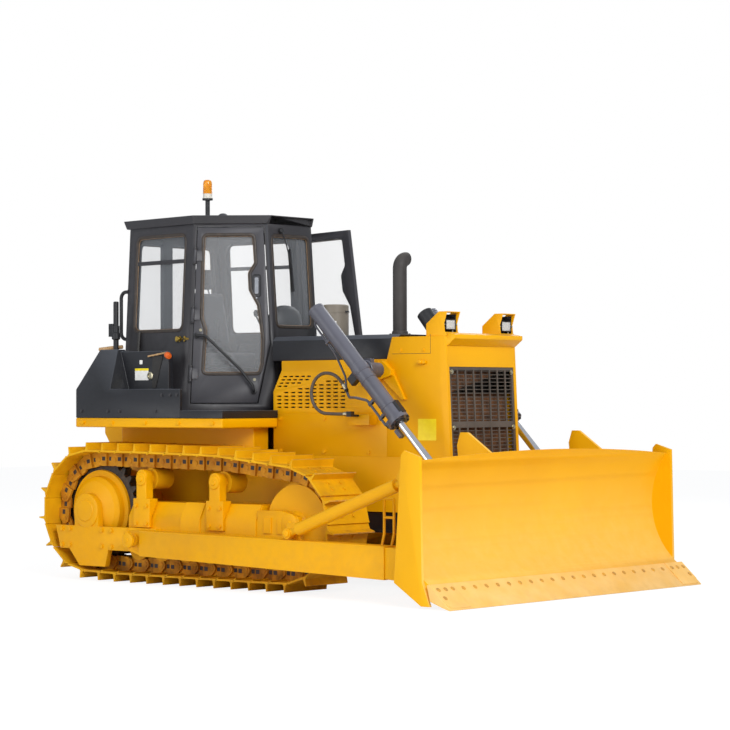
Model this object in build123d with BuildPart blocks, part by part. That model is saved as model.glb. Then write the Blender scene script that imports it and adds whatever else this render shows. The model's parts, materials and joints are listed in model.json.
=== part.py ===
from build123d import *
import os
from math import atan2, cos, hypot, pi, radians, sin, sqrt, tan

os.makedirs("parts", exist_ok=True)

# Bulldozer: +X forward, +Y to its left, +Z up, origin on the ground at the middle of its box.
# Lengths along the machine are stations, measured forward from the sprocket axle.

# Overall
drawbar_reach = 699
blade_reach = 4441
sprocket_x = (drawbar_reach - blade_reach) / 2

# Tracks
track_gauge = 1880
shoe_width = 510
shoe_count = 37
shoe_plate = 18
grouser_height = 65
grouser_width = 26
link_inner = 55
link_outer = 70
chain_half = 92
chain_gap_half = 50
track_middle = track_gauge / 2

# Wheels of the track, radii to the line of the bushings
sprocket_z = 602
sprocket_pitch_radius = 440
sprocket_teeth = 27
sprocket_thickness = 80
idler_station = 2330
idler_z = 547
idler_pitch_radius = 392
idler_flange = 22
idler_bearing = 128
roller_radius = 100
roller_flange_radius = 120
roller_stations = (520, 802, 1084, 1366, 1648, 1930)
# past the end rollers the chain lifts on a wide curve
lift_off = 115
lift_off_radius = 400
carrier_radius = 91
# station and height of each carrier roller
carriers = ((653, 887), (1514, 872))

# Track frames
frame_half = 180
frame_inner = track_middle - frame_half
frame_outer = track_middle + frame_half
frame_top_z = 500
frame_web_z = 290
frame_web = 40
housing_rise = 190
housing_side_rise = 60
housing_chamfer = 70
housing_rear_station = 470
housing_front_station = 1972
side_plate_face = frame_outer + 60
side_plate_z = (269, 468)
side_plate_stations = (-382, 860)
trunnion_station = 792
trunnion_z = 382
trunnion_radius = 50
trunnion_end = side_plate_face + 205
axle_cap_radius = 148

# Hull
case_stations = (-430, 880)
case_z = (330, 1130)
case_half = 400
hull_half = case_half + 68
rail_thickness = 80
rail_z = (640, 1090)
guard_front = blade_reach - 1003
rail_front_station = guard_front - 138
belly_z = 470

# Rear pad: four tapped holes in the case
rear_pad_z = 760
rear_pad_width = 560
rear_pad_height = 400
rear_bolt_radius = 13
rear_bolt_depth = 60

# Engine enclosure
panel_thickness = 20
side_panel_rear = 1556
side_panel_top_z = 1440
# fold of the upper panel: stations and heights of its ends
louvre_fold = ((1560, 1630), (2685, 1810))
louvre_top_rear = 1590
hood_bottom_z = 1888
hood_half = hull_half - 68
hood_top_z = 2094
hood_rear = 1480
guard_rear = guard_front - 628
guard_top_z = hood_top_z - 26
guard_wall = 30
# the guard's face leans back from its foot to its crown, and its side edges are bevelled
guard_foot = guard_front + 49
guard_crown = guard_front - 20
guard_bevel = (70, 10)
# the seam of hood and guard slants forward above the hood's lower edge
seam_slant = 56
grille_half = hull_half - 41
grille_z = (880, 1821)
brow_reach = 67
brow_bottom_z = 1990

# Fenders and boxes beside the cab
fender_half = track_middle + 210
fender_z = (1324, 1405)
fender_stations = (-162, 1607)
skirt_half = track_middle - 285
deck_top_z = 1470
box_rear = -158
box_front = 1114
box_inner = fender_half - 290
box_step = 800
box_top_z = 1651
hump_top_z = 2000
hump_front = 270
recess_corner = 65

# Cab: corners of its six-sided outline at sill and roof
cab_wall = 50
cab_top_z = 3075
cab_rear = -80
cab_sill_corners = ((cab_rear, fender_half - 494), (831, fender_half - 368), (1434, 277))
cab_roof_corners = ((cab_rear, fender_half - 587), (831, fender_half - 461), (1317, 282))
roof_thickness = 74
door_thickness = 40
door_gap = 8
door_open_angle = 41

# Blade
arm_rear_y = side_plate_face + 145
arm_front_y = arm_rear_y + 100
arm_thickness = 150
blade_half = arm_front_y + 269
# the top edge is arched, lower at its ends than in the middle
blade_top_z = 1165
blade_end_z = 1100
blade_top_front = blade_reach - 260
blade_low_front = blade_reach - 226
blade_plate = 20
edge_height = 181
blade_curve_station = blade_reach - 476
blade_curve_z = 600
lift_pin_station = blade_reach - 601
lift_pin_z = 700
cylinder_y = hull_half + 277
arm_rear = 880
arm_front = blade_reach - 801

# Braces: station and height of the pins, with the eyes' distance from the middle
brace_rear = (blade_reach - 1841, 500)
brace_front = (blade_reach - 569, 943)
brace_rear_y = arm_front_y
brace_front_y = blade_half - 194
brace_radius = 52
brace_eye_radius = 42
brace_eye_half = 36
brace_neck = 112

# Lift cylinders
yoke_station = guard_front - 668
yoke_z = 1800
yoke_pin_radius = 30
yoke_pin_reach = 36
pin_clearance = 0.05
yoke_thickness = 52
boss_inner = hull_half + yoke_thickness + 5
barrel_radius = 68
barrel_wall = 12
barrel_behind = 699
barrel_ahead = 588
rod_radius = 34
rod_length = 1440
rod_clearance = 0.3


# An x in the machine's frame from a station.
def at(station):
    return sprocket_x + station


# Points of a side view, each given by station and height.
def side_points(*points):
    return [(at(station), z) for station, z in points]


# The upright plane at one y, seen from the machine's right.
def plane_y(y):
    return Plane.XZ.offset(-y)


# The upright plane across the machine at one station.
def plane_x(station):
    return Plane.YZ.offset(at(station))


# Points of a front view on the right side, each given by distance from the middle and height.
def right_points(*points):
    return [(-distance, z) for distance, z in points]


# A prism of a side view between two distances from the middle, on the right.
def side_prism(points, inner, outer):
    with BuildPart() as prism:
        with BuildSketch(plane_y(-inner)):
            Polygon(*side_points(*points), align=None)
        extrude(amount=outer - inner)
    return prism.part


# A round bar across the machine on its right side.
def cross_bar(station, z, radius, inner, outer):
    with BuildPart() as bar:
        with BuildSketch(plane_y(-inner)):
            with Locations((at(station), z)):
                Circle(radius)
        extrude(amount=outer - inner)
    return bar.part


# A prism of a side view across the machine, as wide on each side.
def cross_prism(points, half):
    with BuildPart() as prism:
        with BuildSketch(Plane.XZ):
            Polygon(*side_points(*points), align=None)
        extrude(amount=half, both=True)
    return prism.part


def box_between(low, high):
    size = [b - a for a, b in zip(low, high)]
    centre = [(a + b) / 2 for a, b in zip(low, high)]
    with BuildPart() as block:
        with Locations(tuple(centre)):
            Box(*size)
    return block.part


def write(name, part):
    part.label = name
    export_step(part, "parts/" + name + ".step")


# The closed line of the bushings: arcs on the wheels joined by tangents, clockwise from the right.
bushing_z = grouser_height + shoe_plate + link_outer
roller_z = bushing_z + link_inner + roller_radius
chain_play = 2
track_circles = (
    (0, sprocket_z, sprocket_pitch_radius),
    (*carriers[0], carrier_radius + link_inner + chain_play),
    (*carriers[1], carrier_radius + link_inner + chain_play),
    (idler_station, idler_z, idler_pitch_radius),
    (roller_stations[-1] + lift_off, bushing_z + lift_off_radius, lift_off_radius),
    (roller_stations[0] - lift_off, bushing_z + lift_off_radius, lift_off_radius),
)


# Each wheel with the outward angles where the belt meets and leaves it.
def belt_arcs(circles):
    count = len(circles)
    leaving = []
    for index, (x, z, radius) in enumerate(circles):
        next_x, next_z, next_radius = circles[(index + 1) % count]
        distance = hypot(next_x - x, next_z - z)
        heading = atan2(next_z - z, next_x - x)
        lean = (next_radius - radius) / distance
        leaving.append(heading + pi / 2 + atan2(lean, sqrt(1 - lean * lean)))
    arcs = []
    for index, circle in enumerate(circles):
        start = leaving[index - 1]
        turn = (start - leaving[index]) % (2 * pi)
        arcs.append((circle, start, turn))
    return arcs


belt = belt_arcs(track_circles)


def around(circle, angle, offset):
    x, z, radius = circle
    return x + (radius + offset) * cos(angle), z + (radius + offset) * sin(angle)


# Pieces of the belt as lengths: arcs on wheels and the straight runs between them.
def belt_lengths(arcs):
    lengths = []
    for index, (circle, start, turn) in enumerate(arcs):
        following = arcs[(index + 1) % len(arcs)]
        out_x, out_z = around(circle, start - turn, 0)
        in_x, in_z = around(following[0], following[1], 0)
        lengths.append((circle[2] * turn, hypot(in_x - out_x, in_z - out_z)))
    return lengths


belt_pieces = belt_lengths(belt)
belt_length = sum(arc + run for arc, run in belt_pieces)
track_pitch = belt_length / shoe_count


# The point at a length along the belt, moved out by an offset.
def on_belt(length, offset):
    length = length % belt_length
    for index, (arc, run) in enumerate(belt_pieces):
        circle, start, turn = belt[index]
        if length <= arc:
            return around(circle, start - length / circle[2], offset)
        length -= arc
        if length <= run:
            out_x, out_z = around(circle, start - turn, offset)
            following = belt[(index + 1) % len(belt)]
            in_x, in_z = around(following[0], following[1], offset)
            share = length / run
            return out_x + (in_x - out_x) * share, out_z + (in_z - out_z) * share
        length -= run
    return on_belt(0, offset)


shoe_face = link_outer + shoe_plate
print("belt length", round(belt_length), "pitch", round(track_pitch, 1))


# Track: link rails on the wheels and a shoe with one grouser at each pitch.
def track():
    shoe_line = []
    for number in range(shoe_count):
        begin = number * track_pitch
        root = begin + grouser_width
        shoe_line.append(on_belt(begin, shoe_face))
        shoe_line.append(on_belt(begin + grouser_width / 4, shoe_face + grouser_height))
        shoe_line.append(on_belt(begin + 3 * grouser_width / 4, shoe_face + grouser_height))
        shoe_line.append(on_belt(root, shoe_face))
    inner_line = [on_belt(number * track_pitch, link_outer) for number in range(shoe_count)]
    rail_line = []
    for number in range(shoe_count):
        begin = number * track_pitch
        rail_line.append(on_belt(begin + 0.25 * track_pitch, -link_inner))
        rail_line.append(on_belt(begin + 0.75 * track_pitch, -link_inner))
    rail_root = [on_belt(number * track_pitch, link_outer + 1) for number in range(shoe_count)]
    with BuildPart() as loop:
        with BuildSketch(plane_y(-(track_gauge + shoe_width) / 2)):
            Polygon(*side_points(*shoe_line), align=None)
            Polygon(*side_points(*inner_line), align=None, mode=Mode.SUBTRACT)
        extrude(amount=-shoe_width)
        for near, far in ((chain_gap_half, chain_half), (-chain_half, -chain_gap_half)):
            with BuildSketch(plane_y(-(track_gauge / 2 + near))):
                Polygon(*side_points(*rail_root), align=None)
                Polygon(*side_points(*rail_line), align=None, mode=Mode.SUBTRACT)
            extrude(amount=far - near)
    return loop.part


right_track = track()
write("track_right", right_track)
write("track_left", mirror(right_track, about=Plane.XZ))


# Sprockets: a toothed rim on the final drive's hub.
hub_radius = 300


def sprocket():
    root_radius = sprocket_pitch_radius - 34
    tip_radius = sprocket_pitch_radius + 18
    outline = []
    for tooth in range(sprocket_teeth):
        middle = 2 * pi * tooth / sprocket_teeth
        half_tip = 0.13 * 2 * pi / sprocket_teeth
        half_root = 0.33 * 2 * pi / sprocket_teeth
        for angle, radius in ((-half_root, root_radius), (-half_tip, tip_radius),
                              (half_tip, tip_radius), (half_root, root_radius)):
            x = radius * cos(middle + angle)
            z = radius * sin(middle + angle)
            outline.append((x, z + sprocket_z))
    with BuildPart() as wheel:
        with BuildSketch(plane_y(-(track_middle - sprocket_thickness / 2))):
            Polygon(*side_points(*outline), align=None)
            with Locations((at(0), sprocket_z)):
                Circle(hub_radius, mode=Mode.SUBTRACT)
        extrude(amount=sprocket_thickness)
    return wheel.part


right_sprocket = sprocket()
with BuildPart() as sprockets:
    add(right_sprocket)
    mirror(about=Plane.XZ)
write("sprockets", sprockets.part)


# A turned piece about a cross axis, its profile given by distance from the middle and radius.
def turned(station, z, profile):
    axis_plane = Plane(origin=(at(station), 0, z), x_dir=(0, -1, 0), z_dir=(1, 0, 0))
    with BuildPart() as turning:
        with BuildSketch(axis_plane):
            Polygon(*profile, align=None)
        revolve(axis=Axis((at(station), 0, z), (0, -1, 0)))
    return turning.part


sprocket_side = track_middle - sprocket_thickness / 2
sprocket_far = track_middle + sprocket_thickness / 2
drive_profile = (
    (case_half, 0), (case_half, 190), (track_middle - 320, 190), (track_middle - 290, 345),
    (sprocket_side, 345),
    (sprocket_side, hub_radius), (sprocket_far, hub_radius), (sprocket_far, 350),
    (track_middle + 62, 345), (track_middle + 66, 296), (track_middle + 112, 288),
    (track_middle + 140, 250), (frame_outer, axle_cap_radius), (frame_outer, 0),
)
right_drive = turned(0, sprocket_z, drive_profile)
with BuildPart() as final_drives:
    add(right_drive)
    mirror(about=Plane.XZ)
write("final_drives", final_drives.part)

# Idlers: two treads and the flange between the link rails.
# each link lies as a chord across the wheel, so the tread is smaller by the chord's sag
tread_radius = idler_pitch_radius - link_inner - track_pitch ** 2 / (8 * idler_pitch_radius) - 1
idler_profile = (
    (track_middle - idler_bearing, 0), (track_middle - idler_bearing, 80), (track_middle - 95, 110),
    (track_middle - 95, tread_radius), (track_middle - 44, tread_radius),
    (track_middle - 44, tread_radius + idler_flange), (track_middle + 44, tread_radius + idler_flange),
    (track_middle + 44, tread_radius), (track_middle + 95, tread_radius),
    (track_middle + 95, 110), (track_middle + idler_bearing, 80), (track_middle + idler_bearing, 0),
)
right_idler = turned(idler_station, idler_z, idler_profile)
with BuildPart() as idlers:
    add(right_idler)
    mirror(about=Plane.XZ)
write("idlers", idlers.part)

# Bottom rollers between the webs of the track frame.
roller_profile = (
    (track_middle - (frame_half - frame_web), 0), (track_middle - (frame_half - frame_web), 40),
    (track_middle - 110, 40), (track_middle - 110, roller_flange_radius),
    (track_middle - 94, roller_flange_radius), (track_middle - 94, roller_radius),
    (track_middle + 94, roller_radius), (track_middle + 94, roller_flange_radius),
    (track_middle + 110, roller_flange_radius), (track_middle + 110, 40),
    (track_middle + (frame_half - frame_web), 40), (track_middle + (frame_half - frame_web), 0),
)
with BuildPart() as track_rollers:
    for station in roller_stations:
        add(turned(station, roller_z, roller_profile))
    mirror(about=Plane.XZ)
write("track_rollers", track_rollers.part)

# Carrier rollers and the posts that hold them from the outside.
post_inner = frame_outer - 54
carrier_profile = (
    (track_middle - 96, 0), (track_middle - 96, carrier_radius), (track_middle + 96, carrier_radius),
    (track_middle + 96, 45), (post_inner, 45), (post_inner, 0),
)
with BuildPart() as carrier_rollers:
    for station, height in carriers:
        add(turned(station, height, carrier_profile))
    mirror(about=Plane.XZ)
write("carrier_rollers", carrier_rollers.part)

housing_top_z = frame_top_z + housing_rise
housing_side_z = frame_top_z + housing_side_rise
post_outer = frame_outer + 30


def carrier_bracket(station, height):
    base_half = 98
    post_half = 59
    foot_z = 475
    base_top = 720
    post_crown = 80
    with BuildPart() as bracket:
        with BuildSketch(plane_x(station - base_half)):
            Polygon(*right_points((frame_outer, foot_z), (post_outer, foot_z), (post_outer, base_top),
                                  (frame_outer - housing_chamfer, base_top),
                                  (frame_outer - housing_chamfer, housing_top_z),
                                  (frame_outer, housing_side_z)), align=None)
        extrude(amount=2 * base_half)
        with BuildSketch(plane_y(-post_inner)):
            with BuildLine():
                Polyline((at(station + post_half), height), (at(station + post_half), base_top),
                         (at(station - post_half), base_top), (at(station - post_half), height))
                ThreePointArc((at(station - post_half), height), (at(station), height + post_crown),
                              (at(station + post_half), height))
            make_face()
        extrude(amount=post_outer - post_inner)
    return bracket.part


with BuildPart() as carrier_brackets:
    for station, height in carriers:
        add(carrier_bracket(station, height))
    mirror(about=Plane.XZ)
write("carrier_brackets", carrier_brackets.part)


# Track frame: webbed beam, spring housing, side plate, trunnion and the brace to the hull.
def track_frame():
    beam_rear = housing_rear_station
    beam_front = 2140
    with BuildPart() as frame:
        with BuildSketch(plane_x(beam_rear)):
            Polygon(*right_points((frame_inner, frame_web_z), (frame_inner + frame_web, frame_web_z),
                                  (frame_inner + frame_web, 432), (frame_outer - frame_web, 432),
                                  (frame_outer - frame_web, frame_web_z), (frame_outer, frame_web_z),
                                  (frame_outer, housing_side_z),
                                  (frame_outer - housing_chamfer, housing_top_z),
                                  (frame_inner + housing_chamfer, housing_top_z),
                                  (frame_inner, housing_side_z)), align=None)
        extrude(amount=housing_front_station - beam_rear)
        add(side_prism(((housing_front_station, frame_web_z), (beam_front, 330),
                        (idler_station, 420), (idler_station + 90, 470), (idler_station + 90, 610),
                        (idler_station - 90, 655), (housing_front_station, 655)),
                       track_middle + idler_bearing, frame_outer))
        add(side_prism(((housing_front_station, frame_web_z), (beam_front, 330),
                        (idler_station, 420), (idler_station + 90, 470), (idler_station + 90, 610),
                        (idler_station - 90, 655), (housing_front_station, 655)),
                       frame_inner, track_middle - idler_bearing))
        add(side_prism(((side_plate_stations[0], side_plate_z[1]),
                        (side_plate_stations[0] + 60, side_plate_z[0]),
                        (side_plate_stations[1], side_plate_z[0]),
                        (side_plate_stations[1], side_plate_z[1])), frame_outer, side_plate_face))
        add(cross_bar(0, sprocket_z, axle_cap_radius, frame_outer, side_plate_face - 6))
        add(side_prism(((-axle_cap_radius, sprocket_z), (-axle_cap_radius, side_plate_z[1]),
                        (axle_cap_radius, side_plate_z[1]), (axle_cap_radius, sprocket_z)),
                       frame_outer, side_plate_face - 6))
        add(side_prism(((-209, side_plate_z[0]), (-80, 125), (240, 125), (278, side_plate_z[0])),
                       frame_outer + 10, side_plate_face))
        add(cross_bar(trunnion_station, trunnion_z, trunnion_radius, side_plate_face, trunnion_end))
        with BuildSketch(Plane.XY.offset(400)):
            Polygon((at(1150), -frame_inner), (at(900), -frame_inner), (at(200), -case_half),
                    (at(470), -case_half), align=None)
        extrude(amount=110)
    return frame.part


right_frame = track_frame()
write("track_frame_right", right_frame)
write("track_frame_left", mirror(right_frame, about=Plane.XZ))

# Main frame: rear case, side rails, front cross member.
with BuildPart() as main_frame:
    with BuildSketch(Plane.XZ):
        Polygon(*side_points((case_stations[0], 420), (-300, case_z[0]), (case_stations[1], case_z[0]),
                             (case_stations[1], case_z[1]), (-330, case_z[1]), (case_stations[0], 1040)),
                align=None)
    extrude(amount=case_half, both=True)
    add(side_prism(((780, 500), (case_stations[1], 500), (case_stations[1], rail_z[0]),
                    (rail_front_station, rail_z[0]), (rail_front_station, rail_z[1]),
                    (780, rail_z[1])), hull_half - rail_thickness, hull_half))
    add(mirror(side_prism(((780, 500), (case_stations[1], 500), (case_stations[1], rail_z[0]),
                           (rail_front_station, rail_z[0]), (rail_front_station, rail_z[1]),
                           (780, rail_z[1])), hull_half - rail_thickness, hull_half), about=Plane.XZ))
    add(box_between((at(rail_front_station - 90), -hull_half + 20, rail_z[0]),
                    (at(rail_front_station), hull_half - 20, 860)))
    with BuildSketch(Plane.YZ.offset(at(case_stations[0]))):
        with Locations((0, rear_pad_z)):
            with GridLocations(rear_pad_width, rear_pad_height, 2, 2):
                Circle(rear_bolt_radius)
    extrude(amount=rear_bolt_depth, mode=Mode.SUBTRACT)
write("main_frame", main_frame.part)

# Belly guard under engine and rails.
belly_front = rail_front_station - 420
with BuildPart() as belly_guard:
    with BuildSketch(Plane.XZ):
        Polygon(*side_points((case_stations[1], belly_z), (belly_front + 20, belly_z),
                             (rail_front_station, rail_z[0] - 20),
                             (rail_front_station, rail_z[0]), (belly_front, rail_z[0]),
                             (belly_front, belly_z + 20), (case_stations[1], belly_z + 20)), align=None)
    extrude(amount=hull_half - 10, both=True)
    for side in (-1, 1):
        with Locations((at((case_stations[1] + belly_front) / 2), side * (hull_half - 25),
                        (belly_z + rail_z[0]) / 2)):
            Box(belly_front - case_stations[1], 20, rail_z[0] - belly_z)
write("belly_guard", belly_guard.part)

# Equalizer bar across the hull, its ends on the track frames.
bar_z = (500, belly_z)
with BuildPart() as equalizer_bar:
    with BuildSketch(plane_x(1700)):
        Polygon((-frame_inner, 380), (-300, 330), (300, 330), (frame_inner, 380), (frame_inner, 500),
                (hull_half + 10, belly_z), (-hull_half - 10, belly_z), (-frame_inner, 500), align=None)
    extrude(amount=150)
write("equalizer_bar", equalizer_bar.part)

# Drawbar: two jaws and a pin hole at the rear.
jaw_gap = 90
drawbar_z = 520
drawbar_pin_station = -625
drawbar_half = 130
with BuildPart() as drawbar:
    with BuildSketch(Plane.XY.offset(drawbar_z)):
        with BuildLine():
            Polyline((at(-600), 90), (at(case_stations[0]), 170), (at(case_stations[0]), -170),
                     (at(-600), -90))
            ThreePointArc((at(-600), -90), (at(-drawbar_reach), 0), (at(-600), 90))
        make_face()
        with Locations((at(drawbar_pin_station), 0)):
            Circle(28, mode=Mode.SUBTRACT)
    extrude(amount=drawbar_half, both=True)
    with Locations((at(-620), 0, drawbar_z)):
        Box(240, 400, jaw_gap, mode=Mode.SUBTRACT)
write("drawbar", drawbar.part)

# Station of the guard's leaning face at a height.
def guard_face(z):
    return guard_foot - (guard_foot - guard_crown) * (z - rail_z[0]) / (guard_top_z - rail_z[0])


# Station of the seam between hood and guard at a height.
def seam(z):
    return guard_rear + max(0, seam_slant * (z - hood_bottom_z) / (guard_top_z - hood_bottom_z))


# A plane along the guard's face, behind it by a depth: x to the left, y up the face.
def face_plane(depth):
    lean = atan2(guard_foot - guard_crown, guard_top_z - rail_z[0])
    middle_z = (grille_z[0] + grille_z[1]) / 2
    face = Plane(origin=(at(guard_face(middle_z)), 0, middle_z), x_dir=(0, 1, 0),
                 z_dir=(cos(lean), 0, sin(lean)))
    return face.offset(-depth)


# The wedge taken off the guard's right front edge.
def edge_bevel():
    along, across = guard_bevel
    with BuildPart() as wedge:
        for z in (rail_z[0] - 1, guard_top_z + 1):
            front = at(guard_face(z))
            with BuildSketch(Plane.XY.offset(z)):
                Polygon((front - along, -hull_half), (front + along, -hull_half - across),
                        (front + along, -hull_half + 2 * across), align=None)
        loft()
    return wedge.part


# Radiator guard: hollow yellow shell round the radiator, with its brow.
lamp_front = guard_front - 8
inside_top_z = guard_top_z - guard_wall
with BuildPart() as radiator_guard:
    add(cross_prism(((guard_rear, rail_z[1]), (rail_front_station, rail_z[1]),
                     (rail_front_station, rail_z[0]), (guard_foot, rail_z[0]),
                     (guard_crown, guard_top_z), (seam(guard_top_z), guard_top_z),
                     (guard_rear, hood_bottom_z)), hull_half))
    add(cross_prism(((guard_rear - 100, rail_z[1] - 1), (guard_face(rail_z[1]) - guard_wall, rail_z[1] - 1),
                     (guard_face(inside_top_z) - guard_wall, inside_top_z),
                     (guard_rear - 100, inside_top_z)), hull_half - guard_wall), mode=Mode.SUBTRACT)
    add(box_between((at(rail_front_station), -hull_half + 1, rail_z[0]),
                    (at(guard_face(rail_z[1])) - guard_wall, hull_half - 1, rail_z[1])))
    with BuildSketch(face_plane(-60)):
        Rectangle(2 * grille_half, grille_z[1] - grille_z[0])
    extrude(amount=-460, mode=Mode.SUBTRACT)
    add(edge_bevel(), mode=Mode.SUBTRACT)
    add(mirror(edge_bevel(), about=Plane.XZ), mode=Mode.SUBTRACT)
    add(cross_prism(((lamp_front + 2, hood_top_z), (guard_front + brow_reach, hood_top_z - 15),
                     (guard_front + brow_reach, hood_top_z - 48), (guard_front - 8, brow_bottom_z),
                     (guard_crown - 16, brow_bottom_z), (guard_crown - 16, guard_top_z),
                     (lamp_front + 2, guard_top_z)), hull_half - 16))
write("radiator_guard", radiator_guard.part)

# Grille: upright bars in a frame with a level band, and thin level slats behind them.
grille_depth = 24
slat_depth = 14
grille_rim = 25
band_z = (1330, 1380)
grille_height = grille_z[1] - grille_z[0]
slat_count = 31
slat_pitch = grille_height / slat_count


# The level band between the upper and the lower part of the grille.
def grille_band():
    with Locations((0, (band_z[0] + band_z[1] - grille_z[0] - grille_z[1]) / 2)):
        Rectangle(2 * grille_half - grille_rim, band_z[1] - band_z[0])


with BuildPart() as radiator_grille:
    with BuildSketch(face_plane(6 + grille_depth)):
        Rectangle(2 * grille_half, grille_height)
        Rectangle(2 * (grille_half - grille_rim), grille_height - 2 * grille_rim, mode=Mode.SUBTRACT)
        grille_band()
        with GridLocations(1, slat_pitch, 1, slat_count - 1):
            Rectangle(2 * grille_half - grille_rim, 7)
    extrude(amount=slat_depth)
    with BuildSketch(face_plane(6 + grille_depth - slat_depth)):
        Rectangle(2 * grille_half, grille_height)
        Rectangle(2 * (grille_half - grille_rim), grille_height - 2 * grille_rim, mode=Mode.SUBTRACT)
        grille_band()
        with GridLocations(105, 1, 7, 1):
            Rectangle(16, grille_height - grille_rim)
    extrude(amount=grille_depth - slat_depth)
write("radiator_grille", radiator_grille.part)

with BuildPart() as radiator_core:
    with Locations((at(guard_front - 190), 0, (grille_z[0] + grille_z[1]) / 2)):
        Box(160, 2 * (hull_half - rail_thickness), 870)
write("radiator_core", radiator_core.part)

# Engine as one block between the rails.
engine_rear = 1650
engine_front = guard_front - 538
with BuildPart() as engine_block:
    with BuildSketch(Plane.XZ):
        Polygon(*side_points((engine_rear, rail_z[0]), (engine_front, rail_z[0]),
                             (engine_front, 1500), (engine_front - 150, 1750),
                             (engine_rear + 250, 1750), (engine_rear, 1400)), align=None)
    extrude(amount=hull_half - rail_thickness, both=True)
write("engine_block", engine_block.part)

# Side panels of the engine: a flat lower panel with the hose bracket, and a folded upper one.
bracket_face = hull_half + 92
with BuildPart() as engine_side_panels:
    add(box_between((at(side_panel_rear), -hull_half, rail_z[1]),
                    (at(guard_rear), -hull_half + panel_thickness, side_panel_top_z)))
    add(side_prism(((2465, 1350), (2465, 1436), (2700, 1436), (2700, 1350)), hull_half, bracket_face))
    mirror(about=Plane.XZ)
write("engine_side_panels", engine_side_panels.part)

# slots of the upper panel: height of the row, first station, pitch and count
slot_length = 52
slot_height = 12
slot_rows = (
    (1495, 1620, 79.3, 10), (1526, 1620, 79.3, 10), (1557, 1620, 79.3, 10), (1588, 1620, 79.3, 10),
    (1619, 1699, 79.3, 9), (1650, 1858, 79.3, 7), (1681, 2017, 79.3, 5), (1712, 2175, 79.3, 3),
    (1755, 1650, 71, 5), (1727, 1636, 71, 5), (1699, 1624, 71, 4), (1673, 1611, 71, 2),
)


# The upper panel as a block as deep as asked, its outer face flat below the fold and leaning above it.
def louvre_block(outer, depth, low_z, high_z):
    (rear, rear_z), (front, front_z) = louvre_fold
    inward = hull_half - outer
    fold_rear = Vector(at(rear), -outer, rear_z)
    fold_front = Vector(at(front), -outer, front_z)
    top_rear = Vector(at(louvre_top_rear), -hood_half + inward, front_z)
    leaning = Plane(origin=fold_rear, x_dir=fold_front - fold_rear,
                    z_dir=(fold_front - fold_rear).cross(top_rear - fold_rear))
    with BuildPart() as block:
        add(side_prism(((side_panel_rear - inward, low_z), (side_panel_rear - inward, rear_z),
                        (louvre_top_rear - inward, front_z), (louvre_top_rear - inward, high_z),
                        (guard_rear + inward, high_z), (guard_rear + inward, low_z)),
                       outer - depth, outer))
        split(bisect_by=leaning, keep=Keep.BOTTOM)
    return block.part


# The upright strip above the panel, in plan from the hood's side out to the guard's.
def louvre_strip(inner_line, low_z, high_z):
    with BuildPart() as strip:
        with BuildSketch(Plane.XY.offset(low_z)):
            Polygon((at(louvre_top_rear), -hood_half), (at(louvre_fold[1][0]), -hull_half),
                    (at(guard_rear), -hull_half), *inner_line, align=None)
        extrude(amount=high_z - low_z)
    return strip.part


louvre_top_z = louvre_fold[1][1]
with BuildPart() as louvre_panels:
    add(louvre_block(hull_half, 100, side_panel_top_z, louvre_top_z))
    add(louvre_block(hull_half - panel_thickness, 120, side_panel_top_z - 50, louvre_top_z + 50),
        mode=Mode.SUBTRACT)
    with BuildSketch(plane_y(-hull_half - 10)):
        for height, first, pitch, count in slot_rows:
            with Locations((at(first + pitch * (count - 1) / 2), height)):
                with GridLocations(pitch, 1, count, 1):
                    Rectangle(slot_length, slot_height)
    extrude(amount=-100, mode=Mode.SUBTRACT)
    add(louvre_strip(((at(guard_rear), -hull_half + panel_thickness),
                      (at(louvre_fold[1][0]), -hull_half + panel_thickness),
                      (at(louvre_top_rear), -hood_half + panel_thickness)),
                     louvre_top_z, hood_bottom_z))
    add(louvre_strip(((at(guard_rear), -hood_half + panel_thickness),
                      (at(louvre_top_rear), -hood_half + panel_thickness)),
                     hood_bottom_z - 16, hood_bottom_z))
    mirror(about=Plane.XZ)
write("louvre_panels", louvre_panels.part)

# Hood: folded sheet over the engine.
hood_bevel = 36
with BuildPart() as hood:
    with BuildSketch(plane_x(hood_rear)):
        Polygon((hood_half, hood_bottom_z), (hood_half, hood_top_z - hood_bevel),
                (hood_half - hood_bevel, hood_top_z), (-hood_half + hood_bevel, hood_top_z),
                (-hood_half, hood_top_z - hood_bevel), (-hood_half, hood_bottom_z),
                (-hood_half + panel_thickness, hood_bottom_z),
                (-hood_half + panel_thickness, hood_top_z - hood_bevel - 8),
                (-hood_half + hood_bevel + 8, hood_top_z - panel_thickness),
                (hood_half - hood_bevel - 8, hood_top_z - panel_thickness),
                (hood_half - panel_thickness, hood_top_z - hood_bevel - 8),
                (hood_half - panel_thickness, hood_bottom_z), align=None)
    extrude(amount=guard_rear + 2 * seam_slant - hood_rear)
    add(cross_prism(((guard_rear, hood_bottom_z), (seam(hood_top_z + 10), hood_top_z + 10),
                     (guard_rear + 4 * seam_slant, hood_top_z + 10),
                     (guard_rear + 4 * seam_slant, hood_bottom_z)), hull_half), mode=Mode.SUBTRACT)
write("hood", hood.part)

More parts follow.
